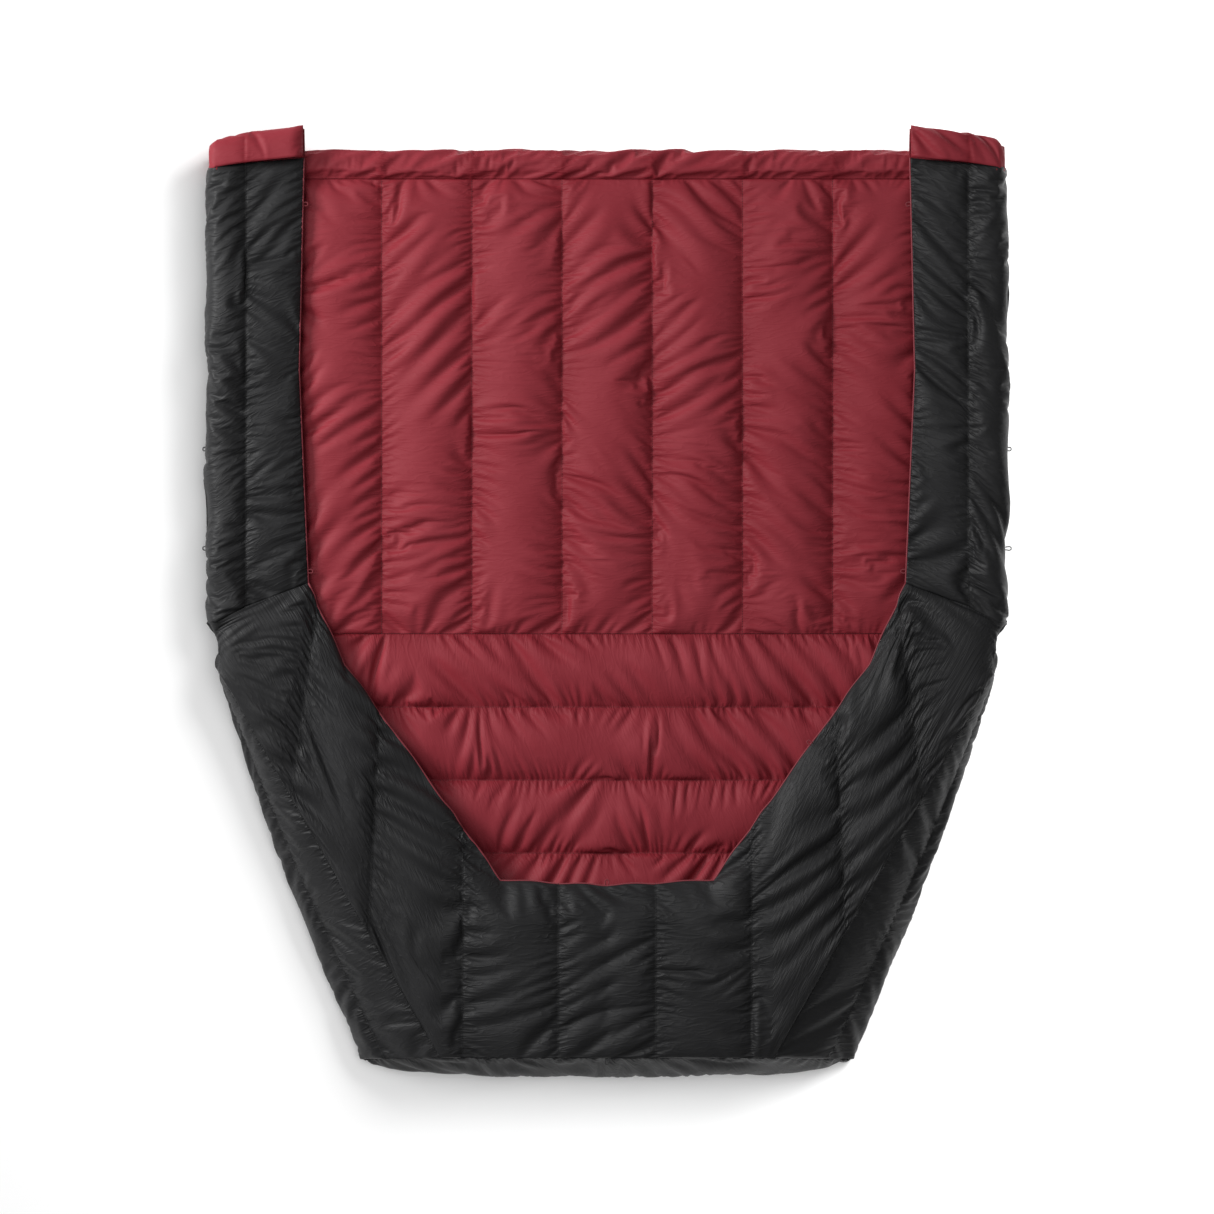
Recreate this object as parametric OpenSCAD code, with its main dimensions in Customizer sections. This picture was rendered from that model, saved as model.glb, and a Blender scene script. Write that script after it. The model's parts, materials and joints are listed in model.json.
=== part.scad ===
// Two-person down camp quilt, laid out flat with its side wings folded in over the lining.
// The shell lies on the ground, the lining faces up, +Y is the head end and -Y the foot end.
// Each soft layer is a plain closed solid at its lofted height, and each side wing turns open
// about the crease in the lining at its fold.

/* [Body] */
// Half of the length, from the middle to the foot end and to the tips of the wings' collars
half_length = 989; // [970:1:1010]
// Half of the width over the two side folds
half_width = 834; // [826:1:850]
// From the middle to the head seam, where the collar is sewn on
head_seam = 882; // [872:1:890]
// From the middle to the foot seam, where the end panel is sewn on
foot_seam = 934; // [925:1:945]
// Height of the body when it is lofted
loft = 50; // [42:1:58]
// Thickness that the shell and lining fabrics are drawn at
fabric = 1.2; // [1:0.1:1.6]

/* [Chambers] */
// Distance between the lengthwise seams of the upper body
pitch = 187.6; // [185:0.1:189]
// From the middle down to the seam between lengthwise and crosswise chambers
cross_seam = 65; // [55:1:75]
// Distance between the crosswise seams of the lower body
row = 152; // [148:1:155]
// Thickness of the down at the middle of a chamber, drawn as it settles
fill_crown = 17; // [12:0.5:22]
// Gap between the down and the fabric round it
fill_gap = 2; // [1:0.5:4]

/* [Wings] */
// Depth of the rounded side fold beyond the crease in the lining
fold_depth = 28; // [22:1:34]
// Height of a wing when it is lofted
wing_loft = 50; // [44:1:54]
// Space between the body's lining and a wing's lining
layer_gap = 4; // [3:0.5:5]
// From the middle line to a wing's free edge, halfway up
wing_edge = 638; // [630:1:645]
// From the middle line to a wing's lengthwise seam
wing_seam = 747; // [735:1:760]
// Gap between a wing and the foot top at the slanted junction seam
junction_gap = 3; // [2:0.5:5]

/* [Foot] */
// Height of the foot top when it is lofted
foot_loft = 46; // [40:1:50]
// How much higher the foot top lies at the foot seam than at the middle
foot_rise = 56; // [40:1:70]
// Half of the width of the foot top at the foot seam
foot_half = 342; // [330:1:355]
// Half of the width of the body at its foot corners
corner_half = 505; // [495:1:515]
// Half of the straight stretch at the bottom of the opening
opening_half = 220; // [205:1:235]
// From the middle down to the bottom of the opening
opening_depth = 584; // [575:1:592]

/* [Trim] */
// Height of the collar tube, across the quilt
collar_width = 60; // [52:1:66]
// Side of the piping on the free edges
piping = 4; // [3:0.5:6]
// Thickness of the loops' cord
loop_cord = 2.4; // [2:0.2:3]
// Middle radius of a loop's round end
loop_radius = 6; // [5:0.5:8]

/* [Hidden] */
UPPER = 9;
LOWER = 6;
FOOT = 9;

SHELL = "#2e2f31";
LINING = "#8e3a42";
DOWN = "#e9e4da";
MESH = "#c9c9cc";
CORD = "#1f1f20";

// Heights of the layers
wing_z = loft + layer_gap;
axis_z = loft + layer_gap / 2;
fold_x = half_width - fold_depth;
wing_top = wing_z + wing_loft;

// The body's side line from the end of the fold to the foot corner
side_top = 40;
side_bottom = foot_seam;
side_steps = 10;
function side_part(y) = (y - side_top) / (side_bottom - side_top);
function side_x(y) = let (t = side_part(y), w = half_width - 9)
    w - (w - corner_half) * (0.58 * t + 0.42 * t * t);
side_line = [for (i = [0:side_steps]) let (y = side_top + (side_bottom - side_top) * i / side_steps)
    [side_x(y), -y]];

// Outline of one half of the foot opening, from the wing's free edge to the middle
opening = [[wing_edge - 19, 41], [wing_edge - 58, -58], [wing_edge - 94, -128],
    [opening_half, 11 - opening_depth], [0, -opening_depth]];
// The junction seam between a wing and the foot top, from the free edge to the fold
junction = [[wing_edge - 19, 41], [wing_seam, -8], [fold_x, -side_top]];
// The gusset's upper seam leaves the side here and runs to the foot seam
gusset_top = [fold_x - 10, -150];
gusset_end = [foot_half, -foot_seam];
function gusset_x(y) = lookup(y, [[side_top, fold_x], [-gusset_top.y, gusset_top.x], [foot_seam, foot_half]]);

function flip(points) = [for (i = [len(points) - 1:-1:0]) [-points[i].x, points[i].y]];
function both(points) = concat(points, flip(points));
function shift(points, dx, dy) = [for (p = points) [p.x + dx, p.y + dy]];
function mix(a, b, t) = a + (b - a) * t;

// Section of a settled layer of down: flat at the seams and full in the middle
function lens(w, h, n = 8) = concat(
    [for (i = [0:n]) [w * (i / n - 0.5), -h / 2 * sqrt(1 - pow(2 * i / n - 1, 2))]],
    [for (i = [n - 1:-1:1]) [w * (i / n - 0.5), h / 2 * sqrt(1 - pow(2 * i / n - 1, 2))]]);
// Section of a soft tube
function tube(w, h, n = 20) = [for (i = [0:n - 1]) [w / 2 * cos(360 * i / n), h / 2 * sin(360 * i / n)]];
// Half-round section of the folded edge
function fold_section(d, h, n = 12) =
    [for (i = [0:n]) let (a = 180 * i / n - 90) [d * cos(a), h / 2 * sin(a)]];

module slab(z, height) translate([0, 0, z]) linear_extrude(height) children();
module on_side(s) mirror([s == "left" ? 1 : 0, 0, 0]) children();

// Lies along Y between two places, with its section in X and Z
module along_y(x, y0, y1, z) translate([x, y1, z]) rotate([90, 0, 0]) linear_extrude(y1 - y0) children();
// Lies along X across the quilt, with its section in Y and Z
module along_x(half, y, z) translate([-half, y, z]) rotate([90, 0, 90]) linear_extrude(2 * half) children();

module wall_x(x, y0, y1, z0, z1) translate([x - 0.4, y0, z0]) cube([0.8, y1 - y0, z1 - z0]);

// ---- Body ----

head_corner = [fold_x, head_seam];
body_plan = both(concat([head_corner], [[fold_x, -side_top]], side_line));
lower_plan = both(concat([[fold_x, -cross_seam]], [for (p = side_line) if (-p.y > cross_seam) p]));

// Outline moved in by a distance, along the middle of the two edges at each corner
function area_sign(points) = let (n = len(points))
    sign([for (i = [0:n - 1]) cross(points[i], points[(i + 1) % n])] * [for (i = [1:n]) 1]);
function inward(points, d) = let (n = len(points), side = -area_sign(points)) [for (i = [0:n - 1])
    let (a = points[(i + n - 1) % n], p = points[i], b = points[(i + 1) % n],
        u = side * (p - a) / norm(p - a), v = side * (b - p) / norm(b - p),
        m = [u.y + v.y, -u.x - v.x], k = m / norm(m))
    p + k * d / max(0.5, k * [u.y, -u.x])];

module shell_back() color(SHELL) difference() {
    slab(0, loft - fabric) polygon(body_plan);
    slab(fabric, loft) polygon(inward(body_plan, fabric));
}

module lining_upper() color(LINING) slab(loft - fabric, fabric)
    polygon(both([head_corner, [fold_x, -cross_seam]]));

module lining_lower() color(LINING) slab(loft - fabric, fabric) polygon(lower_plan);

half_chambers = floor(UPPER / 2);
function upper_edge(i) = i > half_chambers ? fold_x - fabric : pitch * (i - 0.5);

module baffles_upper() color(MESH) for (s = [-1, 1], i = [1:half_chambers])
    wall_x(s * upper_edge(i), fill_gap - cross_seam, head_seam - fill_gap, fabric, loft - fabric);

module fill_upper(i) {
    k = i - half_chambers - 1;
    low = k == 0 ? -upper_edge(1) : sign(k) * upper_edge(abs(k));
    high = k == 0 ? upper_edge(1) : sign(k) * upper_edge(abs(k) + 1);
    color(DOWN) along_y((low + high) / 2, fill_gap - cross_seam, head_seam - fill_gap, loft / 2)
        polygon(lens(abs(high - low) - 2 * fill_gap, fill_crown));
}

function row_top(i) = cross_seam + row * (i - 1);
function row_bottom(i) = min(row_top(i + 1), foot_seam - fabric);

module baffles_lower() color(MESH) for (i = [1:LOWER]) {
    half = min(fold_x, side_x(row_top(i))) - 2 * fabric;
    translate([-half, -row_top(i) - 0.4, fabric]) cube([2 * half, 0.8, loft - 2 * fabric]);
}

module fill_lower(i) color(DOWN) intersection() {
    along_x(half_width, -(row_top(i) + row_bottom(i)) / 2, loft / 2)
        polygon(lens(row_bottom(i) - row_top(i) - 2 * fill_gap, fill_crown));
    slab(0, loft) polygon(inward(lower_plan, fabric + fill_gap));
}

collar_y = head_seam + collar_width / 2;

module collar_shell() color(LINING) along_x(fold_x, collar_y, loft / 2) difference() {
    polygon(tube(collar_width, loft));
    polygon(tube(collar_width - 2 * fabric, loft - 2 * fabric));
}

module collar_fill() color(DOWN) along_x(fold_x - fill_gap, collar_y, loft / 2)
    polygon(tube(collar_width / 2, fill_crown));

// ---- Foot ----

tilt = asin(foot_rise / foot_seam);
foot_plan = concat(
    [for (i = [len(opening) - 1:-1:0]) [-opening[i].x, opening[i].y]],
    [for (p = [junction[1], junction[2], gusset_top, gusset_end]) [-p.x, p.y]],
    [gusset_end, gusset_top, junction[2], junction[1]],
    [for (i = [0:len(opening) - 2]) opening[i]]);

// Underside of the foot top at a distance down from the middle
function foot_z(y) = wing_z + y * tan(tilt);

module foot_frame() translate([0, 0, wing_z]) rotate([-tilt, 0, 0]) children();
module foot_sheet(z, height) foot_frame() slab(z, height) polygon(foot_plan);

module foot_shell() color(SHELL) foot_sheet(foot_loft - fabric, fabric);

foot_seams = [100, 297, 484, 632];
function foot_edge(i) = i > len(foot_seams) ? fold_x : foot_seams[i - 1];

module foot_baffles() color(MESH) foot_frame() intersection() {
    for (s = [-1, 1], x = foot_seams)
        wall_x(s * x, -foot_seam, 40, fabric, foot_loft - fabric);
    slab(0, foot_loft) polygon(inward(foot_plan, fill_gap));
}

module foot_fill(i) {
    k = i - floor(FOOT / 2) - 1;
    low = k == 0 ? -foot_edge(1) : sign(k) * foot_edge(abs(k));
    high = k == 0 ? foot_edge(1) : sign(k) * foot_edge(abs(k) + 1);
    color(DOWN) foot_frame() intersection() {
        along_y((low + high) / 2, -foot_seam, 40, foot_loft / 2)
            polygon(lens(abs(high - low) - 2 * fill_gap, fill_crown));
        slab(0, foot_loft) polygon(inward(foot_plan, fill_gap));
    }
}

// A layer of the side gusset. It joins the foot top's slanted edge to the body's side line and stays
// a margin inside both. high is its underside's height at the foot top, low the same at the side line.
// Its two faces are split along the same diagonals, so they stay parallel where the layer twists.
gusset_steps = 8;
gusset_edge = 10;
seam_gap = 0.5;
top_gap = 2.5;
module gusset_layer(high, low, thick, margin = 0) {
    function ring(y) = let (g = gusset_x(y) + top_gap + margin, o = side_x(y) - margin,
        z = foot_z(y) + high, edge = loft + seam_gap + low)
        [[g, -y, z], [g, -y, z + thick], [o, -y, edge + thick], [o, -y, edge]];
    first = side_top + 1 + margin;
    end = foot_seam - margin;
    points = [for (i = [0:gusset_steps], p = ring(mix(first, end, i / gusset_steps))) p];
    last = 4 * gusset_steps;
    polyhedron(points, concat([[3, 2, 1, 0], [last, last + 1, last + 2, last + 3]],
        [for (i = [0:gusset_steps - 1], k = [0:3]) let (a = 4 * i + k, b = 4 * i + (k + 1) % 4)
            each k < 3 ? [[a, b, b + 4], [a, b + 4, a + 4]] : [[a, b, a + 4], [b, b + 4, a + 4]]]),
        convexity = 4);
}

gusset_down = 5;
module gusset(s) color(SHELL) on_side(s) gusset_layer(foot_loft - fabric, gusset_edge - fabric, fabric);
module gusset_fills() color(DOWN) for (s = ["left", "right"]) on_side(s)
    gusset_layer((foot_loft - gusset_down) / 2, (gusset_edge - gusset_down) / 2, gusset_down, 4);
module gusset_linings() color(LINING) for (s = ["left", "right"]) on_side(s) gusset_layer(0, 0, fabric);
module foot_lining() color(LINING) foot_sheet(0, fabric);

foot_top = foot_z(foot_seam) + foot_loft;
end_half_plan = [[corner_half - 6, -foot_seam - 12], [corner_half - 60, -foot_seam - 30],
    [foot_half, 11 - half_length], [foot_half - 90, -half_length]];
end_low = loft + 12;

// The room behind the end panel, smaller by a distance all round but open towards the foot box
module end_block(d) intersection() {
    linear_extrude(foot_top)
        polygon(both(concat([[corner_half - d, d - foot_seam - seam_gap]], shift(end_half_plan, -d, d))));
    translate([0, -foot_seam + half_length, 0]) rotate([90, 0, 0]) linear_extrude(2 * half_length)
        polygon(both([[corner_half - d, d], [corner_half - d, end_low - d], [foot_half - d, foot_top - d]]));
}

module end_panel() color(SHELL) difference() {
    end_block(0);
    end_block(fabric);
}

end_fill_depth = 14;
module end_panel_fill() color(DOWN) intersection() {
    end_block(fabric + fill_gap);
    translate([-corner_half, -foot_seam - 20, 0]) cube([2 * corner_half, end_fill_depth, foot_top]);
}

// Piping along a free edge: a square cord whose inner face lies on the edge
module edge_strip(points, z) slab(z, piping)
    polygon(concat(points, [for (i = [len(points) - 1:-1:0]) points[i] + piping * edge_out(points, i)]));
function edge_out(points, i) = let (a = points[max(i - 1, 0)], b = points[min(i + 1, len(points) - 1)])
    [b.y - a.y, a.x - b.x] / norm(b - a);

opening_edge = concat([for (i = [0:len(opening) - 2]) opening[i]],
    [for (i = [len(opening) - 1:-1:0]) [-opening[i].x, opening[i].y]]);
module opening_piping() color(LINING) foot_frame()
    edge_strip(opening_edge, (foot_loft - piping) / 2);

// A cord loop with its two legs against an edge and its round end pointing along +X
loop_leg = 4;
module loop() {
    translate([loop_leg, 0, 0]) rotate([0, 0, -90]) rotate_extrude(angle = 180, $fn = 32)
        translate([loop_radius, 0]) circle(d = loop_cord, $fn = 16);
    for (s = [-1, 1]) translate([0, s * loop_radius, 0]) rotate([0, 90, 0])
        cylinder(h = loop_leg, d = loop_cord, $fn = 16);
}

// One loop is at the bottom of the opening, and one halfway down its right edge
slant = opening[2] - opening[3];
slant_out = [-slant.y, slant.x] / norm(slant);
side_loop = mix(opening[3], opening[2], 0.64) + piping * slant_out;
module opening_loops() color(LINING) foot_frame() translate([0, 0, foot_loft / 2]) {
    translate([side_loop.x, side_loop.y]) rotate(atan2(slant_out.y, slant_out.x)) loop();
    translate([0, piping - opening_depth]) rotate(90) loop();
}

// ---- Side folds ----

fold_length = [-side_top + junction_gap, head_seam + collar_width];
module side_fold(s) color(SHELL) on_side(s) along_y(fold_x, fold_length[0], fold_length[1], wing_top / 2)
    difference() {
        polygon(fold_section(fold_depth, wing_top));
        polygon(fold_section(fold_depth - fabric, wing_top - 2 * fabric));
    }

pad_loop_y = [113, 320];
module pad_loops(s) color(CORD) on_side(s) for (y = pad_loop_y)
    translate([half_width - 5, y, wing_top / 4]) loop();

// ---- Wings ----

wing_head = [[fold_x, head_seam + 11], [wing_seam, head_seam + 20], [wing_edge - 10, head_seam + 34]];
wing_plan = concat(wing_head, [[wing_edge, 480]], shift(junction, 0, junction_gap));

module wing_shell(s) color(SHELL) on_side(s) slab(wing_top - fabric, fabric) polygon(wing_plan);
module wing_lining(s) color(LINING) on_side(s) slab(wing_z, fabric) polygon(wing_plan);
module wing_inside(d) slab(wing_z + fabric, wing_loft - 2 * fabric) polygon(inward(wing_plan, d));

module wing_baffle(s) color(MESH) on_side(s)
    wall_x(wing_seam, 2 * fill_gap, head_seam + 16, wing_z + fabric, wing_top - fabric);

module wing_fills(s) color(DOWN) on_side(s) intersection() {
    union() {
        for (span = [[wing_edge - 22, wing_seam], [wing_seam, fold_x]])
            along_y((span[0] + span[1]) / 2, -side_top, half_length, (wing_z + wing_top) / 2)
                polygon(lens(span[1] - span[0] - 2 * fill_gap, fill_crown));
    }
    wing_inside(fill_gap);
}

wing_collar_plan = concat([for (i = [len(wing_head) - 1:-1:0]) wing_head[i] + [0, 0.4]],
    [[fold_x, head_seam + 74], [783, head_seam + 84], [720, head_seam + 94], [wing_edge - 14, half_length]]);
module wing_collar(s) color(LINING) on_side(s) slab(wing_z, wing_loft) polygon(wing_collar_plan);

wing_free_edge = [[wing_edge - 10, head_seam + 34], [wing_edge, 480], [wing_edge - 19, 41 + junction_gap]];
module wing_piping(s) color(LINING) on_side(s) edge_strip(wing_free_edge, (wing_z + wing_top - piping) / 2);

wing_loop_y = [65, 826];
function wing_edge_x(y) = lookup(y, [for (p = wing_free_edge) [p.y, p.x]]);
module wing_loops(s) color(LINING) on_side(s) for (y = wing_loop_y)
    translate([wing_edge_x(y) - piping, y, (wing_z + wing_top) / 2]) rotate(180) loop();

shell_back();
lining_upper();
lining_lower();
baffles_upper();
baffles_lower();
for (i = [1:UPPER]) fill_upper(i);
for (i = [1:LOWER]) fill_lower(i);
collar_shell();
collar_fill();
foot_shell();
foot_lining();
foot_baffles();
for (i = [1:FOOT]) foot_fill(i);
gusset("left");  // gusset_left
gusset("right");  // gusset_right
gusset_linings();
gusset_fills();
end_panel();
end_panel_fill();
opening_piping();
opening_loops();
for (s = ["left", "right"]) {
    side_fold(s);
    pad_loops(s);
    wing_shell(s);
    wing_lining(s);
    wing_fills(s);
    wing_baffle(s);
    wing_collar(s);
    wing_piping(s);
    wing_loops(s);
}
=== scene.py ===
"""Looks of a two-person down camp quilt that lies flat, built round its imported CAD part.

Every panel of the quilt is a grid of cloth. Its seams stay where they are sewn while the down pushes the
spare cloth between them up and the cloth settles into its own creases.
"""

import sys

import json
import logging
import math
from dataclasses import dataclass, field
from enum import Enum
from typing import Callable

import bpy
import numpy as np
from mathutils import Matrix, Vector

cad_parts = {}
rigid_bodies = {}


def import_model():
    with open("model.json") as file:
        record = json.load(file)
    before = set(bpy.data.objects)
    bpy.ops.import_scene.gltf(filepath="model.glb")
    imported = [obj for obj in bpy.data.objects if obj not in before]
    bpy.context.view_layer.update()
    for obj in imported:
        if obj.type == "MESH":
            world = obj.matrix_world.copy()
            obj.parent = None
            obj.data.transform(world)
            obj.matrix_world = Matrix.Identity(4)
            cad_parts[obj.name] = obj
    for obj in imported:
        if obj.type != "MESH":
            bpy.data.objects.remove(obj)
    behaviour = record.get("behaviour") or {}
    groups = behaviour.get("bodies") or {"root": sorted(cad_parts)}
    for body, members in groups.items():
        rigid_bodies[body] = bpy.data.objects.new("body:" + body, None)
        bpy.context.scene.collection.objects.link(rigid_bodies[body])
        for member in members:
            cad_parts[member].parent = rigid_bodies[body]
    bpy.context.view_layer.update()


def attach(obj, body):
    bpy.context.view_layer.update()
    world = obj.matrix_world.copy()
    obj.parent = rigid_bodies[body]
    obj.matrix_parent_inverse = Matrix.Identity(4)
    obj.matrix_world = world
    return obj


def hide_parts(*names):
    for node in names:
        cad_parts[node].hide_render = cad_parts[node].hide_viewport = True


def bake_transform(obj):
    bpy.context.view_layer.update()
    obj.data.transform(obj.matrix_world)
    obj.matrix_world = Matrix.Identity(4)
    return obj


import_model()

LOG = logging.getLogger("camp_quilt")
Array = np.ndarray
Place = Callable[[Array, Array], Array]


# ---- Sizes of the quilt ----


class Side(Enum):
    """Which side of the quilt a piece is on, as the sign of its x."""

    LEFT = -1
    RIGHT = 1

    @property
    def word(self) -> str:
        """The side's name in the names of bodies and nodes."""
        return self.name.lower()


class Runs(Enum):
    """Which way the chambers of a panel run on its grid."""

    ALONG = "chambers lie between seam columns"
    ACROSS = "chambers lie between seam rows"


@dataclass(frozen=True)
class Plan:
    """The quilt's cut in metres. x goes across, y towards the head and z up from the floor."""

    head_seam: float = 0.882
    foot_seam: float = -0.934
    cross_seam: float = -0.065
    row: float = 0.152
    pitch: float = 0.1876
    fold_x: float = 0.806
    fold_depth: float = 0.022
    axis_z: float = 0.052
    wing_z: float = 0.054
    wing_seam: float = 0.747
    side_top: float = -0.040
    side_wide: float = 0.825
    side_narrow: float = 0.505
    gusset_top: tuple[float, float] = (0.796, -0.150)
    gusset_end: tuple[float, float] = (0.342, -0.934)
    foot_rise: float = 0.056
    seam_z: float = 0.033

    def side_x(self, y: Array) -> Array:
        """The quilt's edge on the floor at each y, beside the foot box."""
        t = np.clip((self.side_top - y) / (self.side_top - self.foot_seam), 0, 1)
        return self.side_wide - (self.side_wide - self.side_narrow) * (0.58 * t + 0.42 * t * t)

    def gusset_x(self, y: Array) -> Array:
        """The seam between the foot box's top and its side, at each y."""
        (x0, y0), (x1, y1) = self.gusset_end, self.gusset_top
        return np.interp(y, [y0, y1], [x0, x1])

    def foot_z(self, y: Array) -> Array:
        """The underside of the foot box's top, which rises towards the foot."""
        return self.wing_z + self.foot_rise * y / self.foot_seam

    @property
    def lining_seams(self) -> list[float]:
        """The seams between the long chambers of the lining, with its two edges."""
        inner = [self.pitch * (k - 3.5) for k in range(8)]
        return [-self.fold_x, *inner, self.fold_x]


PLAN = Plan()

# The least height of the quilt's own cloth, and how thick a panel's cloth is drawn, in metres.
FLOOR = 0.001
SKIN = 0.0012
THIN_SKIN = 0.001

# Coarse cells in each long chamber, from the left fold to the right one.
LONG_CELLS = (12, *(15,) * 7, 12)

# How full the padded pieces are.
CHAMBER_FILL = 0.6
COLLAR_FILL = 0.7
LINING_FILL = 0.5


# ---- Cloth ----


@dataclass(frozen=True)
class Drape:
    """How full a panel is and how much spare cloth it has.

    Attributes:
        across: spare cloth across a chamber, as a share of its width.
        along: spare cloth along a seam.
        crown: share of the spare length along a seam that is left at a chamber's crown.
        lean: bias pull of the cloth, over 0 for folds that rise to the right.
        fan: how much more the folds lean at the panel's right edge, and less at its left.
        drag: how much that pull changes from place to place.
        push: how hard the down pushes.
        bend: how much the cloth keeps from creasing.
        crease: height of the first small creases, in metres.
        crown_z: height of a chamber before it settles, in metres.
        vary: how unevenly the spare cloth is spread.
        steps: settling steps on each finer grid.
    """

    across: float = 0.026
    along: float = 0.08
    crown: float = 0.3
    lean: float = 0.0
    fan: float = 0.0
    drag: float = 0.16
    push: float = 2e-6
    bend: float = 0.0008
    crease: float = 0.0012
    crown_z: float = 0.021
    vary: float = 0.8
    steps: tuple[int, ...] = (80, 120, 160)


class Swell:
    """A smooth random field that is the same on every size of grid."""

    def __init__(self, rng: np.random.Generator, cells_v: int, cells_u: int) -> None:
        """Draws the field's knots.

        Args:
            rng: the panel's own source of random numbers.
            cells_v: number of cells along the panel.
            cells_u: number of cells across it.
        """
        self.knots = rng.normal(0, 1, (cells_v + 2, cells_u + 2))
        self.cells = (cells_v, cells_u)

    def at(self, v: Array, u: Array) -> Array:
        """The field on a grid.

        Args:
            v: places of the rows, from 0 to 1.
            u: places of the columns, from 0 to 1.

        Returns:
            One value for each point of the grid.
        """
        (row, fv), (col, fu) = [self._cell(t, n) for t, n in zip((v, u), self.cells)]
        k, fv, fu = self.knots, fv[:, None], fu[None]
        low = k[row][:, col] * (1 - fu) + k[row][:, col + 1] * fu
        high = k[row + 1][:, col] * (1 - fu) + k[row + 1][:, col + 1] * fu
        return low * (1 - fv) + high * fv

    @staticmethod
    def _cell(t: Array, cells: int) -> tuple[Array, Array]:
        """The cell that each place is in, and its eased place in that cell."""
        scaled = t * cells
        cell = np.floor(scaled).astype(int)
        part = scaled - cell
        return cell, part * part * (3 - 2 * part)


LINKS = (
    (np.s_[:, :, :-1], np.s_[:, :, 1:]),
    (np.s_[:, :-1], np.s_[:, 1:]),
    (np.s_[:, :-1, :-1], np.s_[:, 1:, 1:]),
    (np.s_[:, :-1, 1:], np.s_[:, 1:, :-1]),
)


def normals_of(points: Array) -> Array:
    """Unit normals of a grid of points."""
    du, dv = np.gradient(points, axis=2), np.gradient(points, axis=1)
    normal = np.stack(
        [
            du[1] * dv[2] - du[2] * dv[1],
            du[2] * dv[0] - du[0] * dv[2],
            du[0] * dv[1] - du[1] * dv[0],
        ]
    )
    return normal / (np.sqrt((normal * normal).sum(0)) + 1e-12)


@dataclass
class Cloth:
    """A grid of cloth points, shape (3, rows, columns), with springs along the grid and its diagonals."""

    STIFF = 0.3
    SQUEEZE = 0.88
    BIAS = 0.5
    DAMP = 0.92

    points: Array
    lengths: list[Array]
    free: Array
    low: Array
    high: Array

    def relax(self, steps: int, push: float, bend: float) -> None:
        """Lets the cloth settle.

        Args:
            steps: number of steps.
            push: how far the down pushes each point in one step, in metres.
            bend: share of each point's kink that is smoothed away in one step.
        """
        stiff = [self.STIFF * k for k in (1, 1, self.BIAS, self.BIAS)]
        speed = np.zeros_like(self.points)
        for _ in range(steps):
            speed = (speed + normals_of(self.points) * push) * self.DAMP
            moved = self.points + speed * self.free
            pull = np.zeros_like(moved)
            for (a, b), length, k in zip(LINKS, self.lengths, stiff):
                gap = moved[b] - moved[a]
                strain = 1 - length / (np.sqrt(np.einsum("kij,kij->ij", gap, gap)) + 1e-9)
                gap *= 0.5 * k * np.where(strain > 0, strain, strain * self.SQUEEZE)
                pull[a] += gap
                pull[b] -= gap
            moved += (pull - bend * self._kink(self._kink(moved))) * self.free
            moved[2] = np.clip(moved[2], self.low, self.high)
            speed = (moved - self.points) * self.free
            self.points = moved

    @staticmethod
    def _kink(points: Array) -> Array:
        """How far each point is off the line between its neighbours, both ways."""
        kink = np.zeros_like(points)
        kink[:, :, 1:-1] += 0.5 * (points[:, :, 2:] + points[:, :, :-2]) - points[:, :, 1:-1]
        kink[:, 1:-1] += 0.5 * (points[:, 2:] + points[:, :-2]) - points[:, 1:-1]
        return kink


def finer(points: Array) -> Array:
    """The same cloth on a grid of half the mesh size."""
    rows, cols = points.shape[1:]
    out = np.zeros((3, 2 * rows - 1, 2 * cols - 1), points.dtype)
    out[:, ::2, ::2] = points
    out[:, 1::2, ::2] = 0.5 * (points[:, 1:] + points[:, :-1])
    out[:, :, 1::2] = 0.5 * (out[:, :, 2::2] + out[:, :, :-2:2])
    return out


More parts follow.
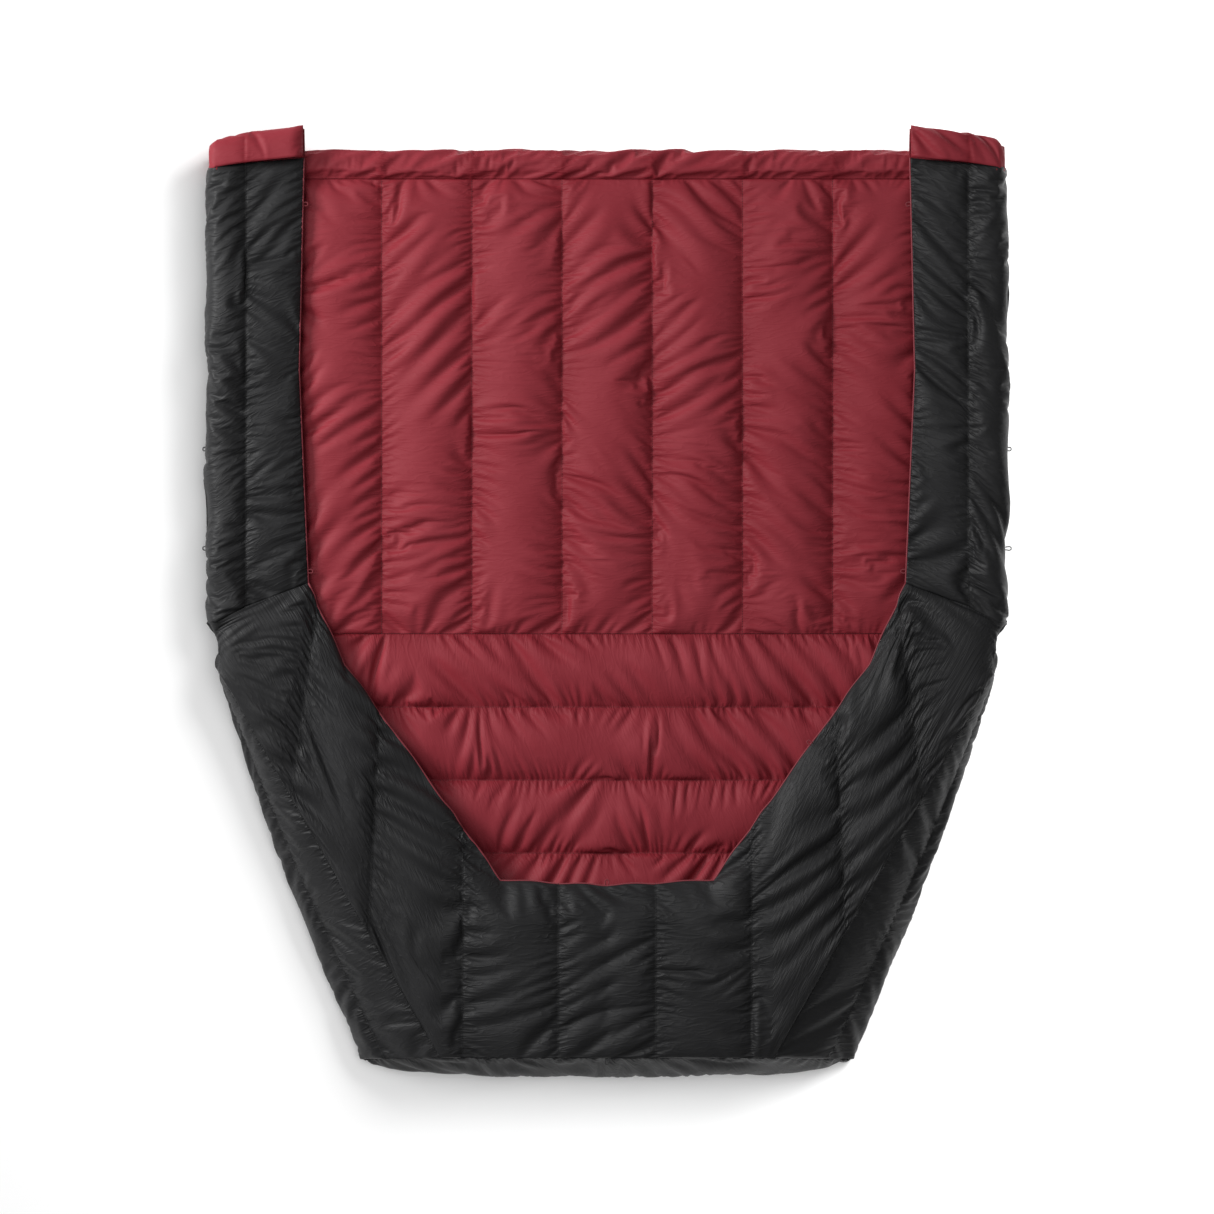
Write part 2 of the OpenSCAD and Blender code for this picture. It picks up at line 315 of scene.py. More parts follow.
@dataclass
class Panel:
    """One quilted panel, from the plan of its seams to its settled cloth.

    Attributes:
        place: gives points (3, rows, columns) for grids of column and row stations.
        across: number of coarse cells between each column station and the next.
        along: the same between row stations.
        seam_cols: column stations that are sewn down.
        seam_rows: row stations that are sewn down.
        drape: how full the panel is.
        seed: the panel's own seed.
        runs: which way its chambers run.
        mirrored: whether it is the left-hand copy of a panel that is given for the right.
        low: lowest height allowed, as a function of the plan points.
        high: highest height allowed.
        tack: column station that is only tacked down here and there.
        points: its settled points, shape (3, rows, columns).
        lay: each point's place on the cloth in metres, across the seams and along them.
        near: how near each point is to a seam, from 0 to 1.
        levels: number of grids it settles on, each of half the mesh size of the one before.
    """

    WANDER = 0.0012
    TACK_ROWS = 5

    place: Place
    across: tuple[int, ...]
    along: tuple[int, ...]
    seam_cols: tuple[int, ...]
    seam_rows: tuple[int, ...]
    drape: Drape
    seed: int
    runs: Runs = Runs.ALONG
    mirrored: bool = False
    low: Callable[[Array], Array | float] = lambda points: FLOOR
    high: Callable[[Array], Array | float] = lambda points: 1.0
    tack: int | None = None
    points: Array = field(default_factory=lambda: np.zeros((3, 1, 1)))
    lay: Array = field(default_factory=lambda: np.zeros((2, 1, 1)))
    near: Array = field(default_factory=lambda: np.zeros((1, 1)))
    levels: int = 3

    def __post_init__(self) -> None:
        """Turns a right-hand panel's columns round for the left."""
        if self.mirrored:
            last = len(self.across)
            self.across = self.across[::-1]
            self.seam_cols = tuple(sorted(last - c for c in self.seam_cols))
            self.tack = None if self.tack is None else last - self.tack

    @staticmethod
    def stations(cells: tuple[int, ...], level: int) -> Array:
        """Places of a grid's lines, counted in stations."""
        steps = [k + np.arange(n * 2**level) / (n * 2**level) for k, n in enumerate(cells)]
        return np.append(np.concatenate(steps), len(cells))

    def flat(self, u: Array, v: Array) -> Array:
        """The panel's points before it is filled."""
        across, along = np.meshgrid(u, v)
        if not self.mirrored:
            return self.place(across, along).astype(np.float32)
        points = self.place(len(self.across) - across, along)
        points[0] *= -1
        return points.astype(np.float32)

    @staticmethod
    def _even(stations: Array, cells: tuple[int, ...]) -> Array:
        """The same places counted in coarse cells."""
        return np.interp(stations, np.arange(len(cells) + 1), np.concatenate([[0], np.cumsum(cells)]))

    def _part(self, stations: Array, cells: tuple[int, ...], seams: tuple[int, ...]) -> Array:
        """How far each place is between the two seams beside it, from 0 to 1."""
        ends = self._even(np.array(sorted({0, len(cells), *seams}), float), cells)
        even = self._even(stations, cells)
        k = np.clip(np.searchsorted(ends, even, side="right") - 1, 0, len(ends) - 2)
        return (even - ends[k]) / (ends[k + 1] - ends[k])

    def _lengths(self, flat: Array, spare_u: Array, spare_v: Array, lean: Array) -> list[Array]:
        """Rest lengths of the four kinds of link.

        Args:
            flat: the panel before it is filled.
            spare_u: spare cloth along the rows, at each point.
            spare_v: spare cloth along the columns.
            lean: bias pull in each cell.

        Returns:
            Rest lengths in the order of LINKS.
        """
        du = (flat[:, :, 1:] - flat[:, :, :-1]) * (1 + 0.5 * (spare_u[:, 1:] + spare_u[:, :-1]))
        dv = (flat[:, 1:] - flat[:, :-1]) * (1 + 0.5 * (spare_v[1:] + spare_v[:-1]))
        a, b = 0.5 * (du[:, 1:] + du[:, :-1]), 0.5 * (dv[:, :, 1:] + dv[:, :, :-1])
        size_a, size_b = (np.sqrt((x * x).sum(0)) for x in (a, b))
        b = b + a * (lean * size_b / (size_a + 1e-9))
        return [np.sqrt((x * x).sum(0)).astype(np.float32) for x in (du, dv, a + b, b - a)]

    def _free(self, u: Array, v: Array, level: int) -> Array:
        """Which points may move: none at the rim, on a seam or at a tack."""
        free = np.ones((len(v), len(u)), np.float32)
        free[[0, -1]] = 0
        free[:, [0, -1]] = 0
        free[:, np.isin(u, self.seam_cols)] = 0
        free[np.isin(v, self.seam_rows)] = 0
        if self.tack is not None:
            free[:: self.TACK_ROWS * 2**level, np.isin(u, [self.tack])] = 0
        return free

    def _measure(self, flat: Array) -> Array:
        """Each point's place on the cloth in metres, across the seams first and then along them."""
        steps_u = np.sqrt(((flat[:, :, 1:] - flat[:, :, :-1]) ** 2).sum(0))
        steps_v = np.sqrt(((flat[:, 1:] - flat[:, :-1]) ** 2).sum(0))
        rows, cols = flat.shape[1:]
        lay_u = np.concatenate([np.zeros((rows, 1)), np.cumsum(steps_u, 1)], 1)
        lay_v = np.concatenate([np.zeros((1, cols)), np.cumsum(steps_v, 0)], 0)
        return np.stack([lay_u, lay_v] if self.runs is Runs.ALONG else [lay_v, lay_u])

    def settle(self) -> "Panel":
        """Fills the panel with down and lets its cloth settle, on finer and finer grids.

        Returns:
            The panel, with its points, its own lay in metres and its nearness to a seam.
        """
        rng, cut = np.random.default_rng(self.seed), self.drape
        along_chamber = self.runs is Runs.ALONG
        size = [sum(self.along), sum(self.across)]
        gather, drag, wander = (Swell(rng, *(max(2, n // k) for n in size)) for k in (3, 7, 5))
        chambers = Swell(rng, len(self.along) + 1, len(self.across) + 1)
        for level in range(self.levels):
            u, v = self.stations(self.across, level), self.stations(self.along, level)
            nu, nv = self._even(u, self.across) / size[1], self._even(v, self.along) / size[0]
            arch_u = np.sin(np.pi * self._part(u, self.across, self.seam_cols))[None]
            arch_v = np.sin(np.pi * self._part(v, self.along, self.seam_rows))[:, None]
            arch, ends = (arch_u, arch_v) if along_chamber else (arch_v, arch_u)
            # The plan itself wanders a little in height, less and less towards its edges.
            flat = self.flat(u, v)
            inside_u, inside_v = (np.clip(8 * np.minimum(n, 1 - n), 0, 1) for n in (nu, nv))
            inside = inside_u[None] * inside_v[:, None]
            flat[2] += (self.WANDER * wander.at(nv, nu) * inside).astype(np.float32)
            free = self._free(u, v, level)
            # The chambers start as low arches, and each grid adds creases of its own size.
            if level == 0:
                lift = np.clip(arch, 0, 1) * np.clip(ends, 0, 1) ** 0.25
                points = flat + normals_of(flat) * (cut.crown_z * lift).astype(np.float32)
            else:
                points = finer(cloth.points)
            fine = [(n * 2 ** (level + 1)) // (1 + (k == along_chamber)) for k, n in enumerate(size)]
            crease = Swell(rng, *(max(2, n) for n in fine)).at(nv, nu) * cut.crease / 2**level
            points = points + normals_of(points) * (crease * free).astype(np.float32)
            points = np.where(free > 0, points, flat).astype(np.float32)
            # Most of the spare cloth is at the seams, where the thread has drawn it up.
            spread = np.clip(1 + cut.vary * gather.at(nv, nu), 0, 3)
            spare = cut.along * (cut.crown + (1 - cut.crown) * (1 - arch) ** 1.5) * spread
            spare = spare * ((level + 1) / self.levels)
            wide = np.full(free.shape, cut.across)
            lean = cut.lean * (1 + 0.5 * chambers.at(nv, nu)) + cut.drag * drag.at(nv, nu)
            lean = lean + cut.fan * (2 * nu - 1)[None]
            pair = (wide, spare) if along_chamber else (spare, wide)
            lengths = self._lengths(flat, *pair, lean[1:, 1:])
            low, high = (
                np.where(free == 0, flat[2], np.broadcast_to(limit(flat), free.shape).astype(np.float32))
                for limit in (self.low, self.high)
            )
            cloth = Cloth(points, lengths, free, low, high)
            cloth.relax(cut.steps[level], cut.push / 2**level, cut.bend)
        if not np.isfinite(cloth.points).all():
            raise ValueError("the cloth came apart")
        self.points = cloth.points
        self.lay = self._measure(flat)
        self.near = np.broadcast_to((1 - arch) ** 2, free.shape)
        return self

    def column(self, station: int) -> Array:
        """The settled line of one column station, shape (rows, 3)."""
        k = int(np.argmin(abs(self.stations(self.across, self.levels - 1) - station)))
        return self.points[:, :, k].T

    def row(self, station: int) -> Array:
        """The settled line of one row station, shape (columns, 3)."""
        k = int(np.argmin(abs(self.stations(self.along, self.levels - 1) - station)))
        return self.points[:, k].T


# ---- Meshes ----


def grid_quads(rows: int, cols: int) -> Array:
    """The quads of a grid, wound so that its normals are those of normals_of."""
    at = np.arange(rows * cols).reshape(rows, cols)
    return np.stack([at[:-1, :-1], at[:-1, 1:], at[1:, 1:], at[1:, :-1]], -1).reshape(-1, 4)


def grid_rim(rows: int, cols: int) -> Array:
    """The points round a grid's edge, the way its quads are wound."""
    at = np.arange(rows * cols).reshape(rows, cols)
    return np.concatenate([at[0, :-1], at[:-1, -1], at[-1, :0:-1], at[:0:-1, 0]])


def make_object(name: str, points: Array, faces: list, material: bpy.types.Material) -> bpy.types.Object:
    """A smooth-shaded mesh object at the origin.

    Args:
        name: the piece's name.
        points: its points, shape (n, 3), in metres.
        faces: lists of point numbers.
        material: its finish.

    Returns:
        The object, linked to the scene.
    """
    mesh = bpy.data.meshes.new(name)
    mesh.from_pydata(points.tolist(), [], faces)
    mesh.polygons.foreach_set("use_smooth", np.ones(len(mesh.polygons), bool))
    mesh.materials.append(material)
    mesh.update()
    piece = bpy.data.objects.new(name, mesh)
    bpy.context.scene.collection.objects.link(piece)
    return piece


def lay_on(piece: bpy.types.Object, lay: Array, near: Array) -> None:
    """Writes the cloth's own lay as a UV map in metres, and how near each point is to a seam.

    Args:
        piece: the piece's object.
        lay: shape (2, n).
        near: shape (n,).
    """
    mesh = piece.data
    corners = np.empty(len(mesh.loops), np.int64)
    mesh.loops.foreach_get("vertex_index", corners)
    layer = mesh.uv_layers.new(name="cloth")
    layer.data.foreach_set("uv", lay.T[corners].astype(np.float32).ravel())
    mesh.attributes.new("near_seam", "FLOAT", "POINT").data.foreach_set("value", near.astype(np.float32))


def skin(name: str, panel: Panel, thick: float, material: bpy.types.Material) -> bpy.types.Object:
    """A panel as a closed skin of cloth.

    Args:
        name: the piece's name.
        panel: a settled panel.
        thick: how far inside its face the skin's back is, in metres.
        material: its finish.

    Returns:
        The object.
    """
    rows, cols = panel.points.shape[1:]
    back = panel.points - normals_of(panel.points) * thick
    count = rows * cols
    points = np.concatenate([panel.points.reshape(3, -1), back.reshape(3, -1)], 1).T
    quads, rim = grid_quads(rows, cols), grid_rim(rows, cols)
    after = np.roll(rim, -1)
    sides = np.stack([after, rim, rim + count, after + count], -1)
    piece = make_object(name, points, np.concatenate([quads, quads[:, ::-1] + count, sides]).tolist(), material)
    lay_on(piece, np.tile(panel.lay.reshape(2, -1), 2), np.tile(panel.near.ravel(), 2))
    return piece


def pad(name: str, panel: Panel, base: float, material: bpy.types.Material) -> bpy.types.Object:
    """A panel as a closed pad: its cloth on top, walls at its edge and one flat face below.

    Args:
        name: the piece's name.
        panel: a settled panel.
        base: the height of its flat face.
        material: its finish.

    Returns:
        The object.
    """
    rows, cols = panel.points.shape[1:]
    top, rim = panel.points.reshape(3, -1), grid_rim(rows, cols)
    under = top[:, rim].copy()
    under[2] = base
    low = np.arange(len(rim)) + rows * cols
    sides = np.stack([np.roll(rim, -1), rim, low, np.roll(low, -1)], -1)
    faces = [*np.concatenate([grid_quads(rows, cols), sides]).tolist(), low[::-1].tolist()]
    piece = make_object(name, np.concatenate([top, under], 1).T, faces, material)
    lay = panel.lay.reshape(2, -1)
    near = panel.near.ravel()
    lay_on(piece, np.concatenate([lay, lay[:, rim]], 1), np.concatenate([near, near[rim]]))
    return piece


TUBE_SIDES = 8


def tube_points(path: Array, radius: float) -> tuple[Array, list]:
    """Points and faces of a closed round tube along a path.

    Args:
        path: shape (n, 3), in metres.
        radius: its radius, in metres.

    Returns:
        The points, shape (m, 3), and the faces.
    """
    run = np.gradient(path, axis=0)
    run /= np.linalg.norm(run, axis=1)[:, None]
    guide = np.cross(run[0], [0.0, 0.0, 1.0])
    if np.linalg.norm(guide) < 0.1:
        guide = np.cross(run[0], [0.0, 1.0, 0.0])
    rings = []
    turn = 2 * np.pi * np.arange(TUBE_SIDES) / TUBE_SIDES
    for point, way in zip(path, run):
        guide = guide - way * guide.dot(way)
        guide /= np.linalg.norm(guide)
        other = np.cross(way, guide)
        rings.append(point + radius * (np.outer(np.cos(turn), guide) + np.outer(np.sin(turn), other)))
    at = np.arange(len(path) * TUBE_SIDES).reshape(len(path), TUBE_SIDES)
    side = np.roll(at, -1, axis=1)
    quads = np.stack([at[:-1], side[:-1], side[1:], at[1:]], -1).reshape(-1, 4).tolist()
    return np.concatenate(rings), [*quads, at[0][::-1].tolist(), at[-1].tolist()]


def tubes(name: str, paths: list[Array], radius: float, material: bpy.types.Material) -> bpy.types.Object:
    """Several round tubes as one piece.

    Args:
        name: the piece's name.
        paths: one path for each tube.
        radius: their radius, in metres.
        material: their finish.

    Returns:
        The object.
    """
    points, faces, count = [], [], 0
    for path in paths:
        some, rings = tube_points(path, radius)
        faces += [[k + count for k in face] for face in rings]
        points.append(some)
        count += len(some)
    return make_object(name, np.concatenate(points), faces, material)


# ---- Finishes ----


def linear(colour: str) -> tuple[float, float, float, float]:
    """A hex sRGB colour as linear values."""
    parts = (int(colour[k : k + 2], 16) / 255 for k in (1, 3, 5))
    return (*(c / 12.92 if c <= 0.04045 else ((c + 0.055) / 1.055) ** 2.4 for c in parts), 1.0)


def feed(node: bpy.types.Node, **inputs: object) -> None:
    """Sets or links a node's inputs.

    Args:
        node: the node.
        **inputs: values or output sockets by input name, with _ for a space, or in0, in1 by number.
    """
    for key, value in inputs.items():
        socket = node.inputs[int(key[2:])] if key[2:].isdigit() else node.inputs[key.replace("_", " ")]
        if isinstance(value, bpy.types.NodeSocket):
            node.id_data.links.new(value, socket)
        else:
            socket.default_value = value


def add_node(
    tree: bpy.types.NodeTree, kind: str, settings: dict | None = None, **inputs: object
) -> bpy.types.Node:
    """Adds a node with its settings and links.

    Args:
        tree: the node tree.
        kind: the node's type.
        settings: the node's own properties.
        **inputs: what feed takes.

    Returns:
        The node.
    """
    node = tree.nodes.new(kind)
    for key, value in (settings or {}).items():
        setattr(node, key, value)
    feed(node, **inputs)
    return node


def new_material(name: str) -> tuple[bpy.types.Material, bpy.types.NodeTree, bpy.types.Node]:
    """A fresh material, with its node tree and its shader."""
    material = bpy.data.materials.new(name)
    material.use_nodes = True
    return material, material.node_tree, material.node_tree.nodes["Principled BSDF"]


@dataclass(frozen=True)
class DownproofNylon:
    """Calendered nylon taffeta, woven tight enough to hold down.

    Pressing the cloth flat gives it a soft satin gloss. Its 0.1 mm threads are too fine to show, so the weave is
    drawn at thread, and the stiff light cloth keeps small crinkles that run across its seams.
    """

    name: str
    face: str
    # The colour of the painted shade that darkens the cloth towards its seams.
    shade: str
    light: str
    roughness: float
    gloss: float = 0.16
    thread: float = 0.0011
    crinkle: float = 0.0012

    def build(self) -> bpy.types.Material:
        """The finish as a material."""
        material, tree, shader = new_material(self.name)
        cloth = add_node(tree, "ShaderNodeUVMap", {"uv_map": "cloth"}).outputs["UV"]
        place = add_node(tree, "ShaderNodeTexCoord").outputs["Object"]
        near = add_node(tree, "ShaderNodeAttribute", {"attribute_name": "near_seam"}).outputs["Fac"]

        # Dye and wear: broad soft patches, a little paler where the cloth has been handled. Painted shade: the
        # colour darkens towards each seam, where the cloth dips into the seam's valley.
        patches = add_node(tree, "ShaderNodeTexNoise", Vector=place, Scale=9.0, Detail=4.0, Roughness=0.6)
        dye = add_node(tree, "ShaderNodeValToRGB", in0=patches.outputs["Fac"])
        ramp = dye.color_ramp.elements
        ramp[0].position, ramp[1].position = 0.32, 0.7
        ramp[0].color, ramp[1].color = linear(self.face), linear(self.light)
        mixed = {"in0": near, "in6": dye.outputs["Color"], "in7": linear(self.shade)}
        dye_and_seam_shade = add_node(tree, "ShaderNodeMix", {"data_type": "RGBA"}, **mixed)

        # Weave: warp and weft ribs at right angles.
        turns = 1 / (self.thread * 2 * math.pi)
        scaled = add_node(tree, "ShaderNodeMapping", in0=cloth, Scale=(turns, turns, turns))
        wave = {"Vector": scaled.outputs[0], "Scale": 2 * math.pi / 20, "Distortion": 0.0}
        warp, weft = (
            add_node(tree, "ShaderNodeTexWave", {"bands_direction": way}, **wave).outputs["Fac"] for way in "XY"
        )
        weave = add_node(tree, "ShaderNodeMath", {"operation": "MAXIMUM"}, in0=warp, in1=weft)

        # Crinkles: long across the seam and close together along it, strongest beside it.
        stretch = add_node(tree, "ShaderNodeMapping", in0=cloth, Scale=(26.0, 90.0, 1.0))
        crinkles = add_node(
            tree,
            "ShaderNodeTexNoise",
            {"noise_type": "RIDGED_MULTIFRACTAL", "normalize": True},
            Vector=stretch.outputs[0],
            Scale=1.0,
            Detail=2.0,
            Roughness=0.5,
            Offset=1.0,
            Distortion=0.8,
        )
        size = add_node(tree, "ShaderNodeMapRange", Value=near, To_Min=0.35, To_Max=1.0)
        height = add_node(
            tree, "ShaderNodeMath", {"operation": "MULTIPLY"}, in0=crinkles.outputs["Fac"], in1=size.outputs[0]
        )
        folds = add_node(tree, "ShaderNodeBump", Height=height.outputs[0], Strength=0.6, Distance=self.crinkle)
        weft_over = {"Height": weave.outputs[0], "Strength": 0.15, "Distance": self.thread / 10}
        fine = add_node(tree, "ShaderNodeBump", Normal=folds.outputs[0], **weft_over)

        # Gloss: the same patches are a little duller where they are paler.
        least, most = self.roughness - 0.05, self.roughness + 0.07
        dull = add_node(tree, "ShaderNodeMapRange", Value=patches.outputs["Fac"], To_Min=least, To_Max=most)
        feed(
            shader,
            Base_Color=dye_and_seam_shade.outputs[2],
            Normal=fine.outputs[0],
            Roughness=dull.outputs[0],
            IOR=1.53,
            Specular_IOR_Level=self.gloss,
        )
        return material


@dataclass(frozen=True)
class TwistedThread:
    """Round polyester thread or cord, twisted or braided, dull and a little fuzzy."""

    name: str
    colour: str
    pitch: float
    roughness: float = 0.7

    def build(self) -> bpy.types.Material:
        """The finish as a material."""
        material, tree, shader = new_material(self.name)
        wave = {"Scale": 1 / self.pitch, "Distortion": 1.0, "Detail": 1.0}
        place = add_node(tree, "ShaderNodeTexCoord").outputs["Object"]
        twist = add_node(tree, "ShaderNodeTexWave", {"bands_direction": "DIAGONAL"}, Vector=place, **wave)
        # Painted shade: the colour is a quarter darker in the twist's grooves, where the bump is low.
        shade = add_node(tree, "ShaderNodeValToRGB", in0=twist.outputs["Fac"])
        base = linear(self.colour)
        shade.color_ramp.elements[0].color = (*(c * 0.75 for c in base[:3]), 1)
        shade.color_ramp.elements[1].color = base
        ridge = {"Height": twist.outputs["Fac"], "Strength": 0.4, "Distance": self.pitch / 6}
        bump = add_node(tree, "ShaderNodeBump", **ridge)
        feed(
            shader,
            Base_Color=shade.outputs["Color"],
            Normal=bump.outputs[0],
            Roughness=self.roughness,
            IOR=1.57,
            Sheen_Weight=0.2,
        )
        return material


@dataclass(frozen=True)
class Finishes:
    """The quilt's finishes, each made once."""

    lining: bpy.types.Material
    shell: bpy.types.Material
    piping: bpy.types.Material
    red_cord: bpy.types.Material
    dark_cord: bpy.types.Material
    red_thread: bpy.types.Material
    dark_thread: bpy.types.Material

    @classmethod
    def make(cls) -> "Finishes":
        """Builds every finish."""
        return cls(
            # Each nylon's colours are its face, its painted seam shade and its paler patches, in that order.
            lining=DownproofNylon("downproof_nylon_red", "#94303A", "#86252F", "#9B3741", 0.55).build(),
            shell=DownproofNylon(
                "downproof_nylon_charcoal", "#272728", "#212122", "#2C2C2D", 0.48, gloss=0.2, crinkle=0.0020
            ).build(),
            piping=TwistedThread("bias_tape_red", "#8E2433", 0.0016, 0.55).build(),
            red_cord=TwistedThread("braided_cord_red", "#8A1F2E", 0.0012).build(),
            dark_cord=TwistedThread("braided_cord_black", "#161617", 0.0012).build(),
            red_thread=TwistedThread("polyester_thread_red", "#4E121B", 0.0008).build(),
            dark_thread=TwistedThread("polyester_thread_black", "#0E0E0F", 0.0008).build(),
        )


# ---- Stitches ----


@dataclass(frozen=True)
class Stitches:
    """Rows of machine stitches that follow the seams."""

    pitch: float = 0.0052
    length: float = 0.0036
    radius: float = 0.0005
    proud: float = 0.0004

    def tree(self) -> bpy.types.NodeTree:
        """The node tree that sets one small stitch after another along every line of a mesh."""
        tree = bpy.data.node_groups.new("stitch_rows", "GeometryNodeTree")
        face = tree.interface
        face.new_socket("Seams", in_out="INPUT", socket_type="NodeSocketGeometry")
        for name in ("Pitch", "Stitch length", "Thread radius"):
            face.new_socket(name, in_out="INPUT", socket_type="NodeSocketFloat")
        face.new_socket("Thread", in_out="INPUT", socket_type="NodeSocketMaterial")
        face.new_socket("Stitches", in_out="OUTPUT", socket_type="NodeSocketGeometry")
        given = tree.nodes.new("NodeGroupInput").outputs
        curve = add_node(tree, "GeometryNodeMeshToCurve", Mesh=given["Seams"])
        points = add_node(
            tree, "GeometryNodeCurveToPoints", {"mode": "LENGTH"}, Curve=curve.outputs[0], Length=given["Pitch"]
        )
        thread = add_node(tree, "GeometryNodeMeshUVSphere", Segments=6, Rings=4, Radius=1.0)
        half = add_node(tree, "ShaderNodeMath", {"operation": "MULTIPLY"}, in0=given["Stitch length"], in1=0.5)
        radius = given["Thread radius"]
        size = add_node(tree, "ShaderNodeCombineXYZ", X=radius, Y=radius, Z=half.outputs[0])
        row = add_node(
            tree,
            "GeometryNodeInstanceOnPoints",
            Points=points.outputs["Points"],
            Instance=thread.outputs["Mesh"],
            Rotation=points.outputs["Rotation"],
            Scale=size.outputs[0],
        )
        real = add_node(tree, "GeometryNodeRealizeInstances", Geometry=row.outputs[0])
        done = add_node(tree, "GeometryNodeSetMaterial", Geometry=real.outputs[0], Material=given["Thread"])
        add_node(tree, "NodeGroupOutput", in0=done.outputs[0])
        return tree

    def sew(self, name: str, lines: list[Array], thread: bpy.types.Material) -> bpy.types.Object:
        """Sews stitches along lines.

        Args:
            name: the piece's name.
            lines: seam lines, shape (n, 3) each, in metres.
            thread: the thread's finish.

        Returns:
            The stitches as one plain mesh.
        """
        tree = bpy.data.node_groups.get("stitch_rows") or self.tree()
        points, edges, count = [], [], 0
        for line in lines:
            points.append(line + [0, 0, self.proud])
            edges += [(count + k, count + k + 1) for k in range(len(line) - 1)]
            count += len(line)
        guide = bpy.data.meshes.new(f"{name}_guide")
        guide.from_pydata(np.concatenate(points).tolist(), edges, [])
        rows = bpy.data.objects.new(f"{name}_guide", guide)
        bpy.context.scene.collection.objects.link(rows)
        modifier = rows.modifiers.new("stitches", "NODES")
        modifier.node_group = tree
        values = {
            "Pitch": self.pitch,
            "Stitch length": self.length,
            "Thread radius": self.radius,
            "Thread": thread,
        }
        for item in tree.interface.items_tree:
            if item.in_out == "INPUT" and item.name in values:
                modifier[item.identifier] = values[item.name]
        graph = bpy.context.evaluated_depsgraph_get()
        mesh = bpy.data.meshes.new_from_object(rows.evaluated_get(graph))
        mesh.name = name
        piece = bpy.data.objects.new(name, mesh)
        bpy.context.scene.collection.objects.link(piece)
        bpy.data.objects.remove(rows)
        return piece


STITCHES = Stitches()


def ride_quilt(
    piece: bpy.types.Object, nodes: tuple[str, ...] = ()
) -> None:
    """Hands a finished piece that rides on the quilt's body to the frame.

    Args:
        piece: the piece.
        nodes: the CAD nodes that it stands for.
    """
    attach(piece, "quilt")
    declare(piece, nodes)


def declare(piece: bpy.types.Object, nodes: tuple[str, ...]) -> None:
    """Hides the CAD nodes that a piece stands for, and logs its number of faces."""
    if nodes:
        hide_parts(*nodes)
    LOG.info("%s: %d faces", piece.name, len(piece.data.polygons))


# ---- The body of the quilt ----


@dataclass
class Lining:
    """The red lining that one lies on: long chambers above and cross chambers towards the foot.

    Attributes:
        under: height of its flat back.
        edge_z: height of its edges at the folds.
        edge_from: x from which the long chambers' seams rise to the folds.
        box_share: how far out its edge is inside the foot box, from the top's seam to the quilt's edge.
        box_gap: how much further in that edge is.
        fold_gap: how far in from the folds it stays.
        room: the height it may fill in the open.
        covered: the height it may fill under the wings.
        cover: x where the wings' cover starts, and how wide the change is.
    """

    finishes: Finishes
    plan: Plan = PLAN
    under: float = 0.008
    edge_z: float = 0.048
    edge_from: float = 0.66
    box_share: float = 0.68
    box_gap: float = 0.012
    fold_gap: float = 0.006
    room: float = 0.068
    covered: float = 0.051
    cover: tuple[float, float] = (0.59, 0.04)

    def upper_place(self, u: Array, v: Array) -> Array:
        """Points of the long chambers."""
        seams = self.plan.lining_seams
        x = np.interp(u, np.arange(len(seams)), seams)
        y = self.plan.cross_seam + (self.plan.head_seam - self.plan.cross_seam) * v
        rise = np.clip((abs(x) - self.edge_from) / (self.plan.fold_x - self.edge_from), 0, 1)
        z = self.plan.seam_z + (self.edge_z - self.plan.seam_z) * rise
        return np.stack([x, y, z])

    def lower_place(self, u: Array, v: Array) -> Array:
        """Points of the cross chambers."""
        p = self.plan
        rows = [p.foot_seam, *(p.cross_seam - p.row * k for k in range(5, -1, -1))]
        y = np.interp(v, np.arange(len(rows)), rows)
        seam, edge = p.gusset_x(y), p.side_x(y)
        side = np.where(y > p.side_top, p.fold_x, seam + self.box_share * (edge - seam) - self.box_gap)
        x = (2 * u - 1) * np.minimum(side, p.fold_x - self.fold_gap)
        z = p.seam_z + (self.edge_z - p.seam_z) * np.clip((abs(2 * u - 1) - 0.9) * 10, 0, 1)
        return np.stack([x, y, z])

    def top(self, points: Array) -> Array:
        """The room under the folded wings and the foot box's top."""
        start, width = self.cover
        return self.room + (self.covered - self.room) * np.clip((abs(points[0]) - start) / width, 0, 1)

    def build(self) -> None:
        """Builds both halves of the lining with their stitches."""
        upper = Panel(
            self.upper_place,
            LONG_CELLS,
            (76,),
            tuple(range(10)),
            (0, 1),
            Drape(along=0.095, fan=0.06, drag=0.12, vary=0.65, bend=0.0005),
            seed=14,
            high=self.top,
        ).settle()
        lower = Panel(
            self.lower_place,
            (124,),
            (4, 6, 12, 12, 12, 12),
            (0, 1),
            tuple(range(7)),
            Drape(along=0.09, lean=0.05, crown=0.25, drag=0.2, bend=0.0005),
            seed=12,
            runs=Runs.ACROSS,
            high=self.top,
        ).settle()
        for run, panel, half, count in (("long", upper, "upper", 9), ("cross", lower, "lower", 6)):
            fills = [f"fill_{half}_{k}" for k in range(1, count + 1)]
            ride_quilt(
                pad(f"lining_{run}_chambers", panel, self.under, self.finishes.lining),
                (f"lining_{half}", f"baffles_{half}", *fills),
            )
        lines = [upper.column(k) for k in range(1, 9)] + [lower.row(k) for k in range(1, 7)]
        lines.append(upper.row(1))
        ride_quilt(STITCHES.sew("lining_stitches", lines, self.finishes.red_thread))


